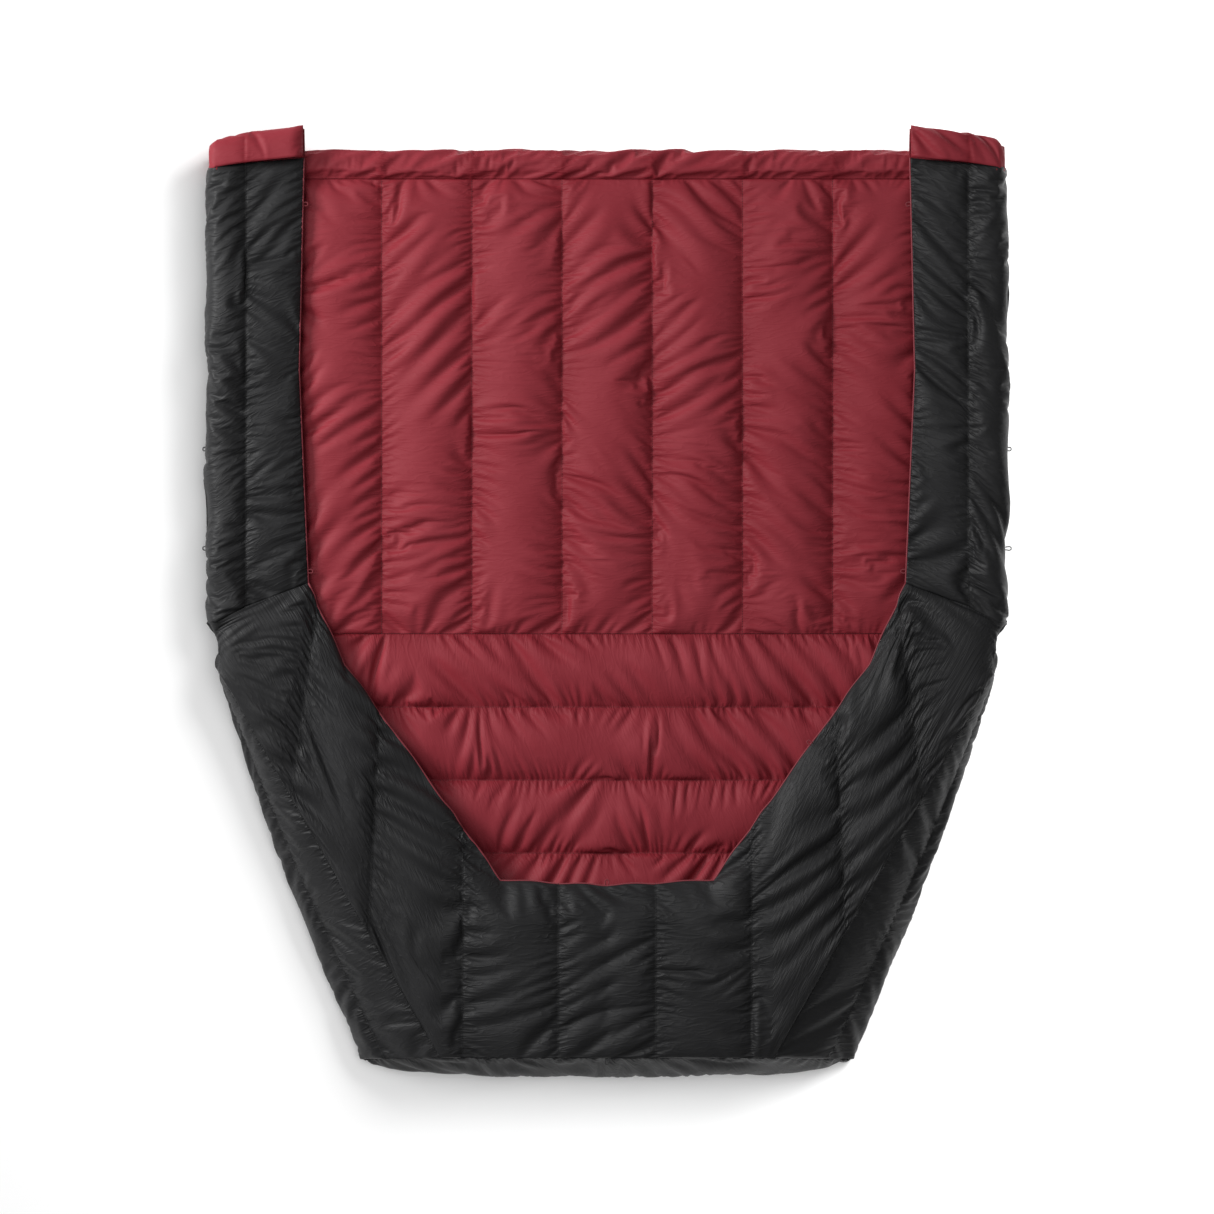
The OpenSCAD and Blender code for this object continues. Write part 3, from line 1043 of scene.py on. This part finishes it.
@dataclass
class Underside:
    """The charcoal shell below, flat on the floor, with shallow grooves at its seams.

    Attributes:
        groove: depth of a groove at its seam.
        groove_half: half the width of a groove.
        head_y: its edge at the head end.
        foot_over: how far it goes past the foot seam.
        side_in: how far in from the quilt's edge it stays beside the foot box.
        face_z: height of its face between the grooves.
        thick: how thick it is drawn.
    """

    finishes: Finishes
    plan: Plan = PLAN
    groove: float = 0.006
    groove_half: float = 0.03
    head_y: float = 0.928
    foot_over: float = 0.02
    side_in: float = 0.008
    face_z: float = 0.0008
    thick: float = 0.002

    def place(self, u: Array, v: Array) -> Array:
        """Points of the shell's face, from the head end to the foot end."""
        p = self.plan
        y = self.head_y - (self.head_y - (p.foot_seam - self.foot_over)) * v
        side = np.where(y > p.side_top, p.fold_x, p.side_x(y) - self.side_in)
        x = (2 * u - 1) * np.minimum(side, p.fold_x)
        gap_long = np.min([abs(x - seam) for seam in p.lining_seams[1:-1]], axis=0)
        gap_cross = abs((y - p.cross_seam + p.row / 2) % p.row - p.row / 2)
        gap = np.where(y > p.cross_seam, gap_long, gap_cross)
        rim = np.clip(20 * (1 - abs(2 * u - 1)), 0, 1)
        z = self.face_z + self.groove * rim * np.clip(1 - gap / self.groove_half, 0, 1) ** 2
        return np.stack([x, y, z])

    def build(self) -> None:
        """Builds the shell below, which lies flat and so isn't settled."""
        panel = Panel(self.place, (110,), (126,), (), (), Drape(), seed=1)
        panel.points = panel.flat(panel.stations(panel.across, 0), panel.stations(panel.along, 0))
        panel.lay = panel.points[:2]
        panel.near = np.zeros(panel.points.shape[1:])
        piece = skin("underside_shell", panel, self.thick, self.finishes.shell)
        ride_quilt(piece, ("shell_back",))


@dataclass
class HeadCollar:
    """The padded tube across the head end, level with the body of the quilt.

    Attributes:
        section: points round the tube, each as its distance past the head seam and its height.
        high: the height it may fill.
    """

    finishes: Finishes
    plan: Plan = PLAN
    high: float = 0.0525
    section: tuple[tuple[float, float], ...] = (
        (0.0, 0.033),
        (0.010, 0.047),
        (0.032, 0.051),
        (0.052, 0.043),
        (0.059, 0.026),
        (0.052, 0.008),
        (0.034, 0.001),
    )

    def place(self, u: Array, v: Array) -> Array:
        """Points round the tube, from the underside over its head end to the seam."""
        seams = self.plan.lining_seams
        x = np.interp(u, np.arange(len(seams)), seams)
        t = np.linspace(0, 1, len(self.section))
        out, z = (ease(1 - v, t, [p[k] for p in self.section]) for k in (0, 1))
        return np.stack([x, self.plan.head_seam + out, z])

    def build(self) -> None:
        """Builds the tube."""
        # Rows run from the seam to the underside, so the columns run from right to left to face out.
        panel = Panel(
            lambda u, v: self.place(9 - u, 1 - v),
            LONG_CELLS,
            (9,),
            tuple(range(10)),
            (0, 1),
            Drape(across=0.016, along=0.01, lean=0.04, drag=0.05, crown_z=0.004, push=3e-6),
            seed=21,
            high=lambda points: self.high,
        ).settle()
        piece = skin("head_collar", panel, SKIN, self.finishes.lining)
        ride_quilt(piece, ("collar_shell", "collar_fill"))


def ease(at: Array, places: Array, values: list[float]) -> Array:
    """Values on a smooth curve through given points.

    Args:
        at: where to read the curve.
        places: where the given points are, evenly spaced.
        values: the given values.

    Returns:
        One value for each entry of at.
    """
    step = places[1] - places[0]
    scaled = np.clip((at - places[0]) / step, 0, len(values) - 1 - 1e-6)
    k = np.floor(scaled).astype(int)
    t = scaled - k
    v = np.array([2 * values[0] - values[1], *values, 2 * values[-1] - values[-2]])
    a, b, c, d = v[k], v[k + 1], v[k + 2], v[k + 3]
    return b + 0.5 * t * (c - a + t * (2 * a - 5 * b + 4 * c - d + t * (3 * (b - c) + d - a)))


# ---- The foot box ----


@dataclass
class FootBox:
    """The closed end for the feet: its top, its two sides, its end and its lining.

    Attributes:
        rim_z: height of the seams round the box's outside, above the top's underside.
        edge_z: the same for the edge of the opening.
        half: the right half of the top, station by station.
        opening_x: where the edge of the opening meets the wing.
        junction_x: x of three points along the top's seam with the wing.
        junction_z: their heights.
        billow: how far the edge of each chamber swells into the opening.
        billow_y: the place on the middle line that it swells towards.
        spread: how far the top's roll stands out past the quilt's edge, and how much less at its foot.
        room: the height that the chambers may fill above the top's underside.
        section: where the side panel bends, as rows.
        side_x: how far in from the quilt's edge the side starts, and how far out it goes from there.
        side_z: the height of its first bend, and the share of the rim's height of its second.
        bulge: how far it swells out where it meets the wing.
        corner: how far the side's foot corner goes out and down, to meet the end panel.
        end_low: the end panel's line on the floor, as x and distance from the middle.
        end_top: its line at the foot seam, as x, distance and share of the rim's height.
        end_tip_z: height of its outer tips.
        belly: how far its middle bulges.
        lining_z: how far above the top's underside the lining lies, with its least and greatest.
        piping: radius of the piping, and how far below the edge it lies.
        piping_ends: x and y that the opening's piping stays within.
    """

    finishes: Finishes
    plan: Plan = PLAN
    rim_z: float = 0.026
    edge_z: float = 0.010
    half: tuple[tuple[float, float, float, float, int, bool], ...] = (
        # top x, top y, bottom x, bottom y, coarse cells to the next station, sewn down
        (0.0, -0.584, 0.0, -0.934, 6, False),
        (0.100, -0.580, 0.100, -0.934, 7, True),
        (0.220, -0.573, 0.220, -0.934, 5, False),
        (0.297, -0.467, 0.297, -0.934, 3, True),
        (0.342, -0.405, 0.342, -0.934, 8, False),
        (0.471, -0.228, 0.490, -0.678, 5, True),
        (0.544, -0.128, 0.560, -0.557, 4, False),
        (0.601, -0.005, 0.650, -0.402, 1, True),
        (0.619, 0.041, 0.672, -0.364, 8, False),
        (0.747, -0.008, 0.762, -0.209, 4, False),
        (0.806, -0.040, 0.796, -0.150, 6, False),
    )
    opening_x: float = 0.6189
    junction_x: tuple[float, float, float] = (0.619, 0.747, 0.806)
    junction_z: tuple[float, float, float] = (0.064, 0.086, 0.093)
    billow: float = 0.003
    billow_y: float = -0.1
    spread: tuple[float, float] = (0.004, 0.009)
    room: float = 0.05
    section: tuple[float, ...] = (0.0, 0.4, 1.0, 2.0)
    side_x: tuple[float, float] = (0.006, 0.003)
    side_z: tuple[float, float] = (0.024, 0.54)
    bulge: float = 0.005
    corner: tuple[float, float] = (0.009, 0.021)
    end_low: tuple[tuple[float, ...], ...] = (
        (0, 0.2, 0.342, 0.440, 0.508),
        (0.978, 0.978, 0.972, 0.963, 0.956),
    )
    end_top: tuple[tuple[float, ...], ...] = (
        (0, 0.2, 0.342, 0.460, 0.508),
        (0.934, 0.934, 0.934, 0.944, 0.955),
        (1, 1, 1, 0.54),
    )
    end_tip_z: float = 0.006
    belly: float = 0.018
    lining_z: tuple[float, float, float] = (0.003, 0.001, 0.006)
    piping: tuple[float, float] = (0.0019, 0.0012)
    piping_ends: tuple[float, float] = (0.6195, 0.0425)

    @property
    def last(self) -> int:
        """The number of the top's last station, from its left seam to its right one."""
        return 2 * (len(self.half) - 1)

    def stations(self, part: int) -> list[float]:
        """One column of the half plan for the whole width, from left to right."""
        right = [row[part] for row in self.half]
        sign = -1 if part in (0, 2) else 1
        return [*(sign * value for value in right[:0:-1]), *right]

    def above(self, height: float) -> Callable[[Array], Array]:
        """The surface that lies a given height above the top's underside."""
        return lambda points: self.plan.foot_z(points[1]) + height

    def top_place(self, u: Array, v: Array) -> Array:
        """Points of the top, with its two sides rolled down to the floor beside the wings."""
        last = self.last
        inner = np.clip(u - 1, 0, last)
        at = np.arange(last + 1)
        top_x, top_y, low_x, low_y = (np.interp(inner, at, self.stations(k)) for k in range(4))
        opens = abs(top_x) < self.opening_x
        billow = self.billow * np.sin(math.pi * (inner % 1)) ** 2 * opens * v**3
        away = np.hypot(top_x, self.billow_y - top_y)
        top_x, top_y = top_x * (1 - billow / away), top_y + (self.billow_y - top_y) * billow / away
        x, y = low_x + (top_x - low_x) * v, low_y + (top_y - low_y) * v
        junction = np.interp(abs(top_x), self.junction_x, self.junction_z)
        rim = np.where(abs(top_x) > self.opening_x, junction, self.plan.foot_z(top_y) + self.edge_z)
        near = np.clip((v - 0.82) / 0.18, 0, 1)
        z = (self.plan.foot_z(y) + self.rim_z) * (1 - near) + rim * near
        side = np.clip((inner - last / 2) / (last / 2), -1, 1)
        roll = np.where(u < 1, 1 - u, np.where(u > last + 1, u - last - 1, 0.0)) * math.pi
        spread = self.plan.side_x(y) - self.plan.fold_x + self.spread[0] - self.spread[1] * (1 - v)
        depth = np.maximum(spread, 0.001) * np.sign(side)
        return np.stack([x + depth * np.sin(roll), y, rolled(z, roll)])

    def gusset_place(self, u: Array, v: Array) -> Array:
        """Points of the right side, from the floor up to the top's seam."""
        y = self.plan.gusset_end[1] + (self.plan.gusset_top[1] - self.plan.gusset_end[1]) * u
        seam, edge = self.plan.gusset_x(y), self.plan.side_x(y)
        rim = self.plan.foot_z(y) + self.rim_z
        swell = self.bulge * u**6
        out = np.stack(
            [
                edge - self.side_x[0],
                edge + self.side_x[1] + swell,
                seam + 0.70 * (edge - seam) + swell,
                seam,
            ]
        )
        up = np.stack([0 * rim + FLOOR, 0 * rim + self.side_z[0], self.side_z[1] * rim, rim])
        x, z = (between(stops, v, self.section) for stops in (out, up))
        corner = (1 - v / 2) * (1 - u) ** 6
        return np.stack([x + self.corner[0] * corner, y - self.corner[1] * corner, z])

    def end_place(self, u: Array, v: Array) -> Array:
        """Points of the end panel, from the floor up to the foot seam."""
        at, sign, s = np.arange(5), np.sign(u - 4), abs(u - 4)
        rim = self.plan.foot_z(self.plan.foot_seam) + self.rim_z
        heights = [share * rim for share in self.end_top[2]] + [self.end_tip_z]
        top = [np.interp(s, at, line) for line in (*self.end_top[:2], heights)]
        low = [np.interp(s, at, line) for line in (*self.end_low, (FLOOR,) * 5)]
        x, y, z = (a + (b - a) * v for a, b in zip(low, top))
        belly = self.belly * np.sin(math.pi * np.clip(v * 1.25, 0, 1)) * np.clip((4 - s) / 1.5, 0, 1)
        return np.stack([sign * x, -(y + belly), z])

    def lining_place(self, u: Array, v: Array) -> Array:
        """Points of the lining under the top."""
        points = self.top_place(1 + (1 - u) * self.last, 0.004 + 0.99 * v)
        points[2] = self.above(self.lining_z[0])(points)
        return points

    def build(self) -> None:
        """Builds the foot box's pieces."""
        self.build_top()
        for side in Side:
            self.build_gusset(side)
        self.build_end()
        self.build_lining()

    def build_top(self) -> None:
        """Builds the top, its piping and its stitches."""
        cells = [row[4] for row in self.half]
        count = len(self.half)
        seams = sorted(count + sign * k for k, row in enumerate(self.half) if row[5] for sign in (-1, 1))
        least = self.above(0.003)
        top = Panel(
            self.top_place,
            (*cells[::-1], *cells),
            (36,),
            (0, *seams, 2 * count),
            (0, 1),
            Drape(
                across=0.006,
                along=0.08,
                crown=0.22,
                fan=0.06,
                drag=0.10,
                crown_z=0.010,
                vary=0.65,
                bend=0.0005,
            ),
            seed=31,
            tack=count,
            low=lambda points: np.where(points[2] > 0.05, least(points), FLOOR),
            high=self.above(self.room),
        ).settle()
        nodes = ("foot_shell", "foot_baffles", *(f"foot_fill_{k}" for k in range(1, 10)))
        piece = skin("foot_box_top", top, SKIN, self.finishes.shell)
        ride_quilt(piece, nodes)
        lines = [top.column(k) for k in seams]
        ride_quilt(STITCHES.sew("foot_box_stitches", lines, self.finishes.dark_thread))
        edge = top.row(1)
        inside = (abs(edge[:, 0]) < self.piping_ends[0]) & (edge[:, 1] < self.piping_ends[1])
        radius, below = self.piping
        path = edge[inside] + [0, 0, -below]
        piece = tubes("opening_piping", [path], radius, self.finishes.piping)
        ride_quilt(piece, ("opening_piping",))

    def build_gusset(self, side: Side) -> None:
        """Builds one side of the box."""
        panel = Panel(
            self.gusset_place,
            (54,),
            (6, 7),
            (0, 1),
            (0, 1, 2),
            Drape(across=0.008, along=0.06, crown=0.25, drag=0.08, crown_z=0.006, vary=0.6, bend=0.0005),
            seed=41 + side.value,
            runs=Runs.ACROSS,
            mirrored=side is Side.LEFT,
            high=self.above(self.room),
        ).settle()
        piece = skin(f"foot_box_side_{side.word}", panel, SKIN, self.finishes.shell)
        nodes = (f"gusset_{side.word}", "gusset_fills", "gusset_linings")
        ride_quilt(piece, nodes)
        name, lines = f"foot_box_side_stitches_{side.word}", [panel.row(1), panel.row(2)]
        ride_quilt(STITCHES.sew(name, lines, self.finishes.dark_thread))

    def build_end(self) -> None:
        """Builds the end panel."""
        panel = Panel(
            self.end_place,
            (4, 8, 9, 13, 13, 9, 8, 4),
            (10,),
            (0, 8),
            (0, 1),
            Drape(across=0.01, along=0.07, crown=0.35, drag=0.12, crown_z=0.003, bend=0.0005),
            seed=45,
            runs=Runs.ACROSS,
            high=lambda points: 0.156,
        ).settle()
        piece = skin("foot_box_end", panel, SKIN, self.finishes.shell)
        ride_quilt(piece, ("end_panel", "end_panel_fill"))

    def build_lining(self) -> None:
        """Builds the red lining under the foot box's top."""
        panel = Panel(
            self.lining_place,
            (90,),
            (24,),
            (0, 1),
            (0, 1),
            Drape(across=0.01, along=0.01, crown=1.0, push=1e-6, crown_z=0.0, crease=0.0015, steps=(30,)),
            seed=47,
            levels=1,
            low=self.above(self.lining_z[1]),
            high=self.above(self.lining_z[2]),
        ).settle()
        piece = skin("foot_box_lining", panel, THIN_SKIN, self.finishes.lining)
        ride_quilt(piece, ("foot_lining",))


def rolled(z: Array, roll: Array) -> Array:
    """Heights of cloth that starts at height z and rolls down to the floor, by the angle it has turned."""
    return FLOOR + (z - FLOOR) * (1 + np.cos(roll)) / 2


def between(stops: Array, at: Array, places: tuple[float, ...]) -> Array:
    """Values on straight lines through stops that differ from point to point.

    Args:
        stops: the values at the places, one array for each.
        at: where to read them.
        places: where the stops are, four in all.

    Returns:
        One value for each point.
    """
    spans = [
        stops[k] + (stops[k + 1] - stops[k]) * ((at - places[k]) / (places[k + 1] - places[k]))
        for k in range(3)
    ]
    return np.select([at <= places[1], at <= places[2]], spans[:2], spans[2])


# ---- The wings ----


@dataclass
class Wing:
    """One side of the quilt, folded in over the lining, with the fold that joins it to the body.

    Attributes:
        edge: x of the free edge at its foot, middle and head.
        foot_y: y of the foot end at the free edge, the seam and the fold.
        head_y: the same at the head end.
        foot_z: heights of the shell's seams at the foot end.
        long_z: the same along the rest of the wing.
        twist: y between which the wing twists up from the foot box, as it opens; not used.
        tip_x: x of five points along the collar's head end.
        tip_y: their y.
        under_at: places across the underside, from the crease at 0 to the free edge at 2.
        under_z: their heights.
        tuck: how far the underside's tip stays inside the collar's, and how far it rises into it.
        collar_out: x of the collar's outer end.
        collar_z: height of the collar's middle, how much lower its outer end is, and its two radii.
        turn_start: y where the collar's turn round the fold starts.
        turn_reach: how far it reaches towards the head.
        high: the height that the wing may fill.
        piping: radius of the piping, and how far below the edge it lies.
    """

    side: Side
    finishes: Finishes
    plan: Plan = PLAN
    edge: tuple[float, float, float] = (0.619, 0.638, 0.628)
    foot_y: tuple[float, float, float] = (0.041, -0.008, -0.040)
    head_y: tuple[float, float, float] = (0.921, 0.908, 0.899)
    foot_z: tuple[float, float, float] = (0.064, 0.086, 0.096)
    long_z: tuple[float, float, float] = (0.066, 0.081, 0.097)
    twist: tuple[float, float] = (-0.03, 0.42)
    tip_x: tuple[float, ...] = (0.628, 0.720, 0.783, 0.806, 0.822)
    tip_y: tuple[float, ...] = (0.987, 0.976, 0.966, 0.958, 0.944)
    under_at: tuple[float, ...] = (0, 0.3, 1, 2)
    under_z: tuple[float, ...] = (0.0545, 0.058, 0.060, 0.062)
    tuck: tuple[float, float] = (0.006, 0.010)
    collar_out: float = 0.823
    collar_z: tuple[float, float, float, float] = (0.078, 0.012, 0.020, 0.004)
    turn_start: float = 0.892
    turn_reach: float = 0.050
    high: float = 0.1045
    piping: tuple[float, float] = (0.0019, 0.0015)

    def top_place(self, u: Array, v: Array) -> Array:
        """Points of the shell, from the inner edge over the fold and down to the floor."""
        p = self.plan
        inner = np.interp(v, (0, 0.5, 1), self.edge)
        k = np.clip(u, 0, 2)
        x = np.where(k < 1, inner + (p.wing_seam - inner) * k, p.wing_seam + (p.fold_x - p.wing_seam) * (k - 1))
        low, high = (np.interp(k, (0, 1, 2), ends) for ends in (self.foot_y, self.head_y))
        ends = np.clip(1 - v / 0.06, 0, 1)
        z = np.interp(k, (0, 1, 2), self.long_z) * (1 - ends) + np.interp(k, (0, 1, 2), self.foot_z) * ends
        roll = np.clip(u - 2, 0, 1) * math.pi
        return np.stack([x + p.fold_depth * np.sin(roll), low + (high - low) * v, rolled(z, roll)])

    def under_place(self, u: Array, v: Array) -> Array:
        """Points of the lining below, from the crease to the inner edge and up under the collar."""
        p = self.plan
        within = np.clip(v, 0, 1)
        inner = np.interp(within, (0, 0.5, 1), self.edge) - 0.002
        x = np.where(u < 1, p.fold_x + (p.wing_seam - p.fold_x) * u, p.wing_seam + (inner - p.wing_seam) * (u - 1))
        low, high = (np.interp(2 - u, (0, 1, 2), ends) for ends in (self.foot_y, self.head_y))
        tip = np.interp(x, self.tip_x, self.tip_y) - self.tuck[0]
        beyond = np.clip(v - 1, 0, 1)
        y = low + (high - low) * within + (tip - high) * beyond
        z = np.interp(u, self.under_at, self.under_z) + self.tuck[1] * beyond**2
        return np.stack([x, y, z])

    def collar_place(self, u: Array, v: Array) -> Array:
        """Points of the padded tube at the head end, from its seam over to its lower edge."""
        p = self.plan
        stops = (self.edge[2], p.wing_seam, p.fold_x, self.collar_out)
        x = np.interp(u, (0, 1, 2, 3), stops)
        seam = np.interp(x, stops, (*self.head_y, self.head_y[2] - 0.009))
        tip = np.interp(x, self.tip_x, self.tip_y)
        turn = v * math.pi * 0.85
        outer = np.clip(u - 2, 0, 1) ** 2
        shrink = 1 - 0.45 * outer - 0.75 * np.clip(1 - 6 * u, 0, 1) ** 2
        middle, drop, tall, full = self.collar_z
        z = middle - drop * outer + tall * shrink * np.cos(turn) + full * np.sin(turn)
        return np.stack([x, seam + (tip - seam) * np.sin(turn), z])

    def turn_place(self, u: Array, v: Array) -> Array:
        """Points of the collar where it turns round the fold, from the wing down to the floor."""
        lift = 0.5 * math.pi * (1 - 2 * u)
        close = 0.5 * math.pi * 0.97 * v
        half = 0.5 * self.long_z[2]
        out = (self.plan.fold_depth + 0.001) * np.cos(lift) * np.cos(close)
        up = (half - 0.001) * np.sin(lift) * np.cos(close)
        ahead = self.turn_reach * np.sin(close)
        return np.stack([self.plan.fold_x - 0.003 + out, self.turn_start + ahead, half + 0.001 + up])

    def bend(self, piece: bpy.types.Object, slot: str, nodes: tuple[str, ...], fill: float | None = None) -> None:
        """Bakes a piece's transform into its mesh, hides the CAD nodes that it stands for and logs it.

        Args:
            piece: the piece.
            slot: its material slot; not used.
            nodes: the CAD nodes that it stands for.
            fill: how full it is, where it is padded; not used.
        """
        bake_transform(piece)
        points = np.empty(3 * len(piece.data.vertices), np.float32)
        piece.data.vertices.foreach_get("co", points)
        declare(piece, nodes)

    def build(self) -> None:
        """Builds the wing's pieces."""
        left = self.side is Side.LEFT
        seed = 60 + 10 * left
        top = Panel(
            self.top_place,
            (8, 5, 9),
            (70,),
            (0, 1, 3),
            (0, 1),
            Drape(across=0.012, along=0.1, crown=0.28, drag=0.14, crown_z=0.008, bend=0.0005),
            seed=seed,
            mirrored=left,
            low=lambda points: np.where(points[2] > 0.058, 0.059, FLOOR),
            high=lambda points: self.high,
        ).settle()
        under = Panel(
            self.under_place,
            (5, 8),
            (70, 5),
            (0, 1, 2),
            (0, 1, 2),
            Drape(across=0.01, along=0.05, crown=0.5, drag=0.08, crown_z=0.003),
            seed=seed + 1,
            mirrored=left,
            low=lambda points: self.under_z[0],
            high=lambda points: 0.072,
        ).settle()
        collar = Panel(
            self.collar_place,
            (9, 5, 3),
            (9,),
            (0, 1, 3),
            (0, 1),
            Drape(across=0.012, along=0.02, lean=0.05, drag=0.1, crown_z=0.002, push=3e-6),
            seed=seed + 2,
            mirrored=left,
            high=lambda points: self.high,
        ).settle()
        turn = Panel(
            self.turn_place,
            (12,),
            (6,),
            (0, 1),
            (0, 1),
            Drape(across=0.02, along=0.03, drag=0.08, crown_z=0.001, push=1e-6),
            seed=seed + 3,
            mirrored=left,
        ).settle()
        pre, word, cloth = f"wing_{self.side.word}_", self.side.word, self.finishes
        nodes = (pre + "shell", pre + "fills", pre + "baffle", f"side_fold_{word}")
        self.bend(skin(pre + "top", top, SKIN, cloth.shell), "shell_fabric", nodes, CHAMBER_FILL)
        for name, panel, thick, node, fill in (
            ("underside", under, THIN_SKIN, "lining", LINING_FILL),
            ("head_collar", collar, SKIN, "collar", COLLAR_FILL),
            ("collar_turn", turn, THIN_SKIN, "collar", COLLAR_FILL),
        ):
            self.bend(skin(pre + name, panel, thick, cloth.lining), "lining_fabric", (pre + node,), fill)
        radius, below = self.piping
        inner = top.column(3 if left else 0) + [0, 0, -below]
        self.bend(tubes(pre + "edge_piping", [inner], radius, cloth.piping), "piping", (pre + "piping",))
        seams = [top.column(2 if left else 1), top.row(1)]
        self.bend(STITCHES.sew(pre + "stitches", seams, cloth.dark_thread), "shell_fabric", ())


# ---- Loops ----


@dataclass
class Loops:
    """Small cord loops that the quilt is tied to its pad with.

    Attributes:
        cord: radius of the cord.
        reach: how far a loop reaches out.
        half: half its width.
        opening: the foot and the direction of each loop on the opening's edge.
        foot_end: the foot of the loop at the middle of the foot seam.
        edge: x and y of the two loops on a wing's free edge.
        edge_z: their height.
        pad_x: x of the loops on the side folds.
        pad_y: y of the two.
        pad_z: their height.
    """

    finishes: Finishes
    cord: float = 0.0012
    reach: float = 0.012
    half: float = 0.0045
    opening: tuple[tuple[tuple[float, float, float], tuple[float, float]], ...] = (
        ((0.0, -0.5835, 0.098), (0, 1)),
        ((0.424, -0.293, 0.082), (-0.8, 0.6)),
    )
    foot_end: tuple[float, float, float] = (0.0, -0.934, 0.146)
    edge: tuple[tuple[float, float], ...] = ((0.6215, 0.065), (0.632, 0.826))
    edge_z: float = 0.064
    pad_x: float = 0.830
    pad_y: tuple[float, float] = (0.113, 0.320)
    pad_z: float = 0.028

    def path(self, foot: tuple[float, float, float], way: tuple[float, float]) -> Array:
        """The line of one loop.

        Args:
            foot: where it is sewn in.
            way: the direction it points in, across the floor.

        Returns:
            Its points, shape (n, 3).
        """
        t = np.linspace(-1, 1, 25)
        out = self.reach * np.sqrt(np.clip(1 - abs(t) ** 2.2, 0, 1))
        wide = self.half * np.sign(t) * abs(t) ** 0.6 * (1 - 0.35 * (abs(t) > 0.8) * (abs(t) - 0.8) / 0.2)
        ahead = np.array([*way, 0.0]) / math.hypot(*way)
        beside = np.array([-ahead[1], ahead[0], 0.0])
        sag = np.array([0, 0, -0.15])
        return np.array(foot) + np.outer(out, ahead + sag) + np.outer(wide, beside)

    def build(self, wings: list[Wing]) -> None:
        """Builds every loop.

        Args:
            wings: the two wings, which their own loops go with.
        """
        red, dark = self.finishes.red_cord, self.finishes.dark_cord
        opening = [self.path(foot, way) for foot, way in self.opening]
        ride_quilt(tubes("opening_loops", opening, self.cord, red), ("opening_loops",))
        end = [self.path(self.foot_end, (0, -1))]
        ride_quilt(tubes("foot_end_loop", end, self.cord, dark))
        for wing in wings:
            side, word = wing.side.value, wing.side.word
            edge = [self.path((side * x, y, self.edge_z), (-side, 0)) for x, y in self.edge]
            piece = tubes(f"wing_{word}_edge_loops", edge, self.cord, red)
            wing.bend(piece, "red_cord", (f"wing_{word}_loops",))
            pads = [self.path((side * self.pad_x, y, self.pad_z), (side, 0)) for y in self.pad_y]
            piece = tubes(f"pad_loops_{word}", pads, self.cord, dark)
            ride_quilt(piece, (f"pad_loops_{word}",))


# ---- The studio ----


@dataclass
class Studio:
    """A white floor, soft daylight from the upper left and a long lens straight above."""

    view_width: float = 2.517
    view_y: float = -0.009
    lens: float = 100.0
    floor_size: float = 40.0
    sky: float = 0.2
    rake: float = 178.0
    top: float = 52.0
    floor_side: float = 275.0
    floor_top: float = 177.0

    def build(self) -> None:
        """Builds the camera, the floor and the lights."""
        scene = bpy.context.scene
        scene.view_settings.view_transform = "Standard"
        camera = bpy.data.cameras.new("camera")
        camera.lens = self.lens
        seat = bpy.data.objects.new("camera", camera)
        scene.collection.objects.link(seat)
        seat.location = (0, self.view_y, self.view_width * self.lens / camera.sensor_width + 0.06)
        scene.camera = seat
        self.build_floor()
        self.build_lights()

    def build_floor(self) -> None:
        """Builds the floor, in matt white paper."""
        half = self.floor_size / 2
        corners = np.array([(x, y, 0.0) for x, y in ((-half, -half), (half, -half), (half, half), (-half, half))])
        paper, _, shader = new_material("white_paper_floor")
        feed(shader, Base_Color=linear("#F8F8F8"), Roughness=0.9, Specular_IOR_Level=0.1)
        make_object("floor", corners, [[0, 1, 2, 3]], paper)

    def build_lights(self) -> None:
        """Builds the sky, two softboxes for the cloth and two that give the floor its soft shadow."""
        world = bpy.data.worlds.new("soft_sky")
        bpy.context.scene.world = world
        world.use_nodes = True
        feed(world.node_tree.nodes["Background"], Color=(1, 1, 1, 1), Strength=self.sky)
        quilt, floor = (bpy.data.collections.new(name) for name in ("quilt_pieces", "floor_pieces"))
        for name, place, power, size, lit in (
            ("raking_softbox", (-4.2, 1.9, 2.3), self.rake, 1.5, quilt),
            ("overhead_softbox", (-1.8, 1.2, 3.6), self.top, 2.5, quilt),
            ("floor_softbox", (2.9, 2.4, 2.9), self.floor_side, 2.4, floor),
            ("floor_overhead", (0.0, 0.0, 4.5), self.floor_top, 5.0, floor),
        ):
            light = bpy.data.lights.new(name, "AREA")
            light.energy, light.size = power, size
            lamp = bpy.data.objects.new(name, light)
            bpy.context.scene.collection.objects.link(lamp)
            lamp.location = place
            lamp.rotation_euler = (-Vector(place)).to_track_quat("-Z", "Y").to_euler()
            lamp.light_linking.receiver_collection = lit

    @staticmethod
    def light_pieces() -> None:
        """Gives the quilt and the floor their own lights."""
        for piece in bpy.data.objects:
            if piece.type == "MESH":
                lit = "floor_pieces" if piece.name == "floor" else "quilt_pieces"
                bpy.data.collections[lit].objects.link(piece)


def main() -> None:
    """Builds the studio and every piece of the quilt."""
    logging.basicConfig(level=logging.INFO, format="%(name)s %(message)s", stream=sys.stdout)
    studio = Studio()
    studio.build()
    finishes = Finishes.make()
    Lining(finishes).build()
    Underside(finishes).build()
    HeadCollar(finishes).build()
    FootBox(finishes).build()
    wings = [Wing(side, finishes) for side in Side]
    for wing in wings:
        wing.build()
    Loops(finishes).build(wings)
    studio.light_pieces()


if __name__ == "__main__":
    main()
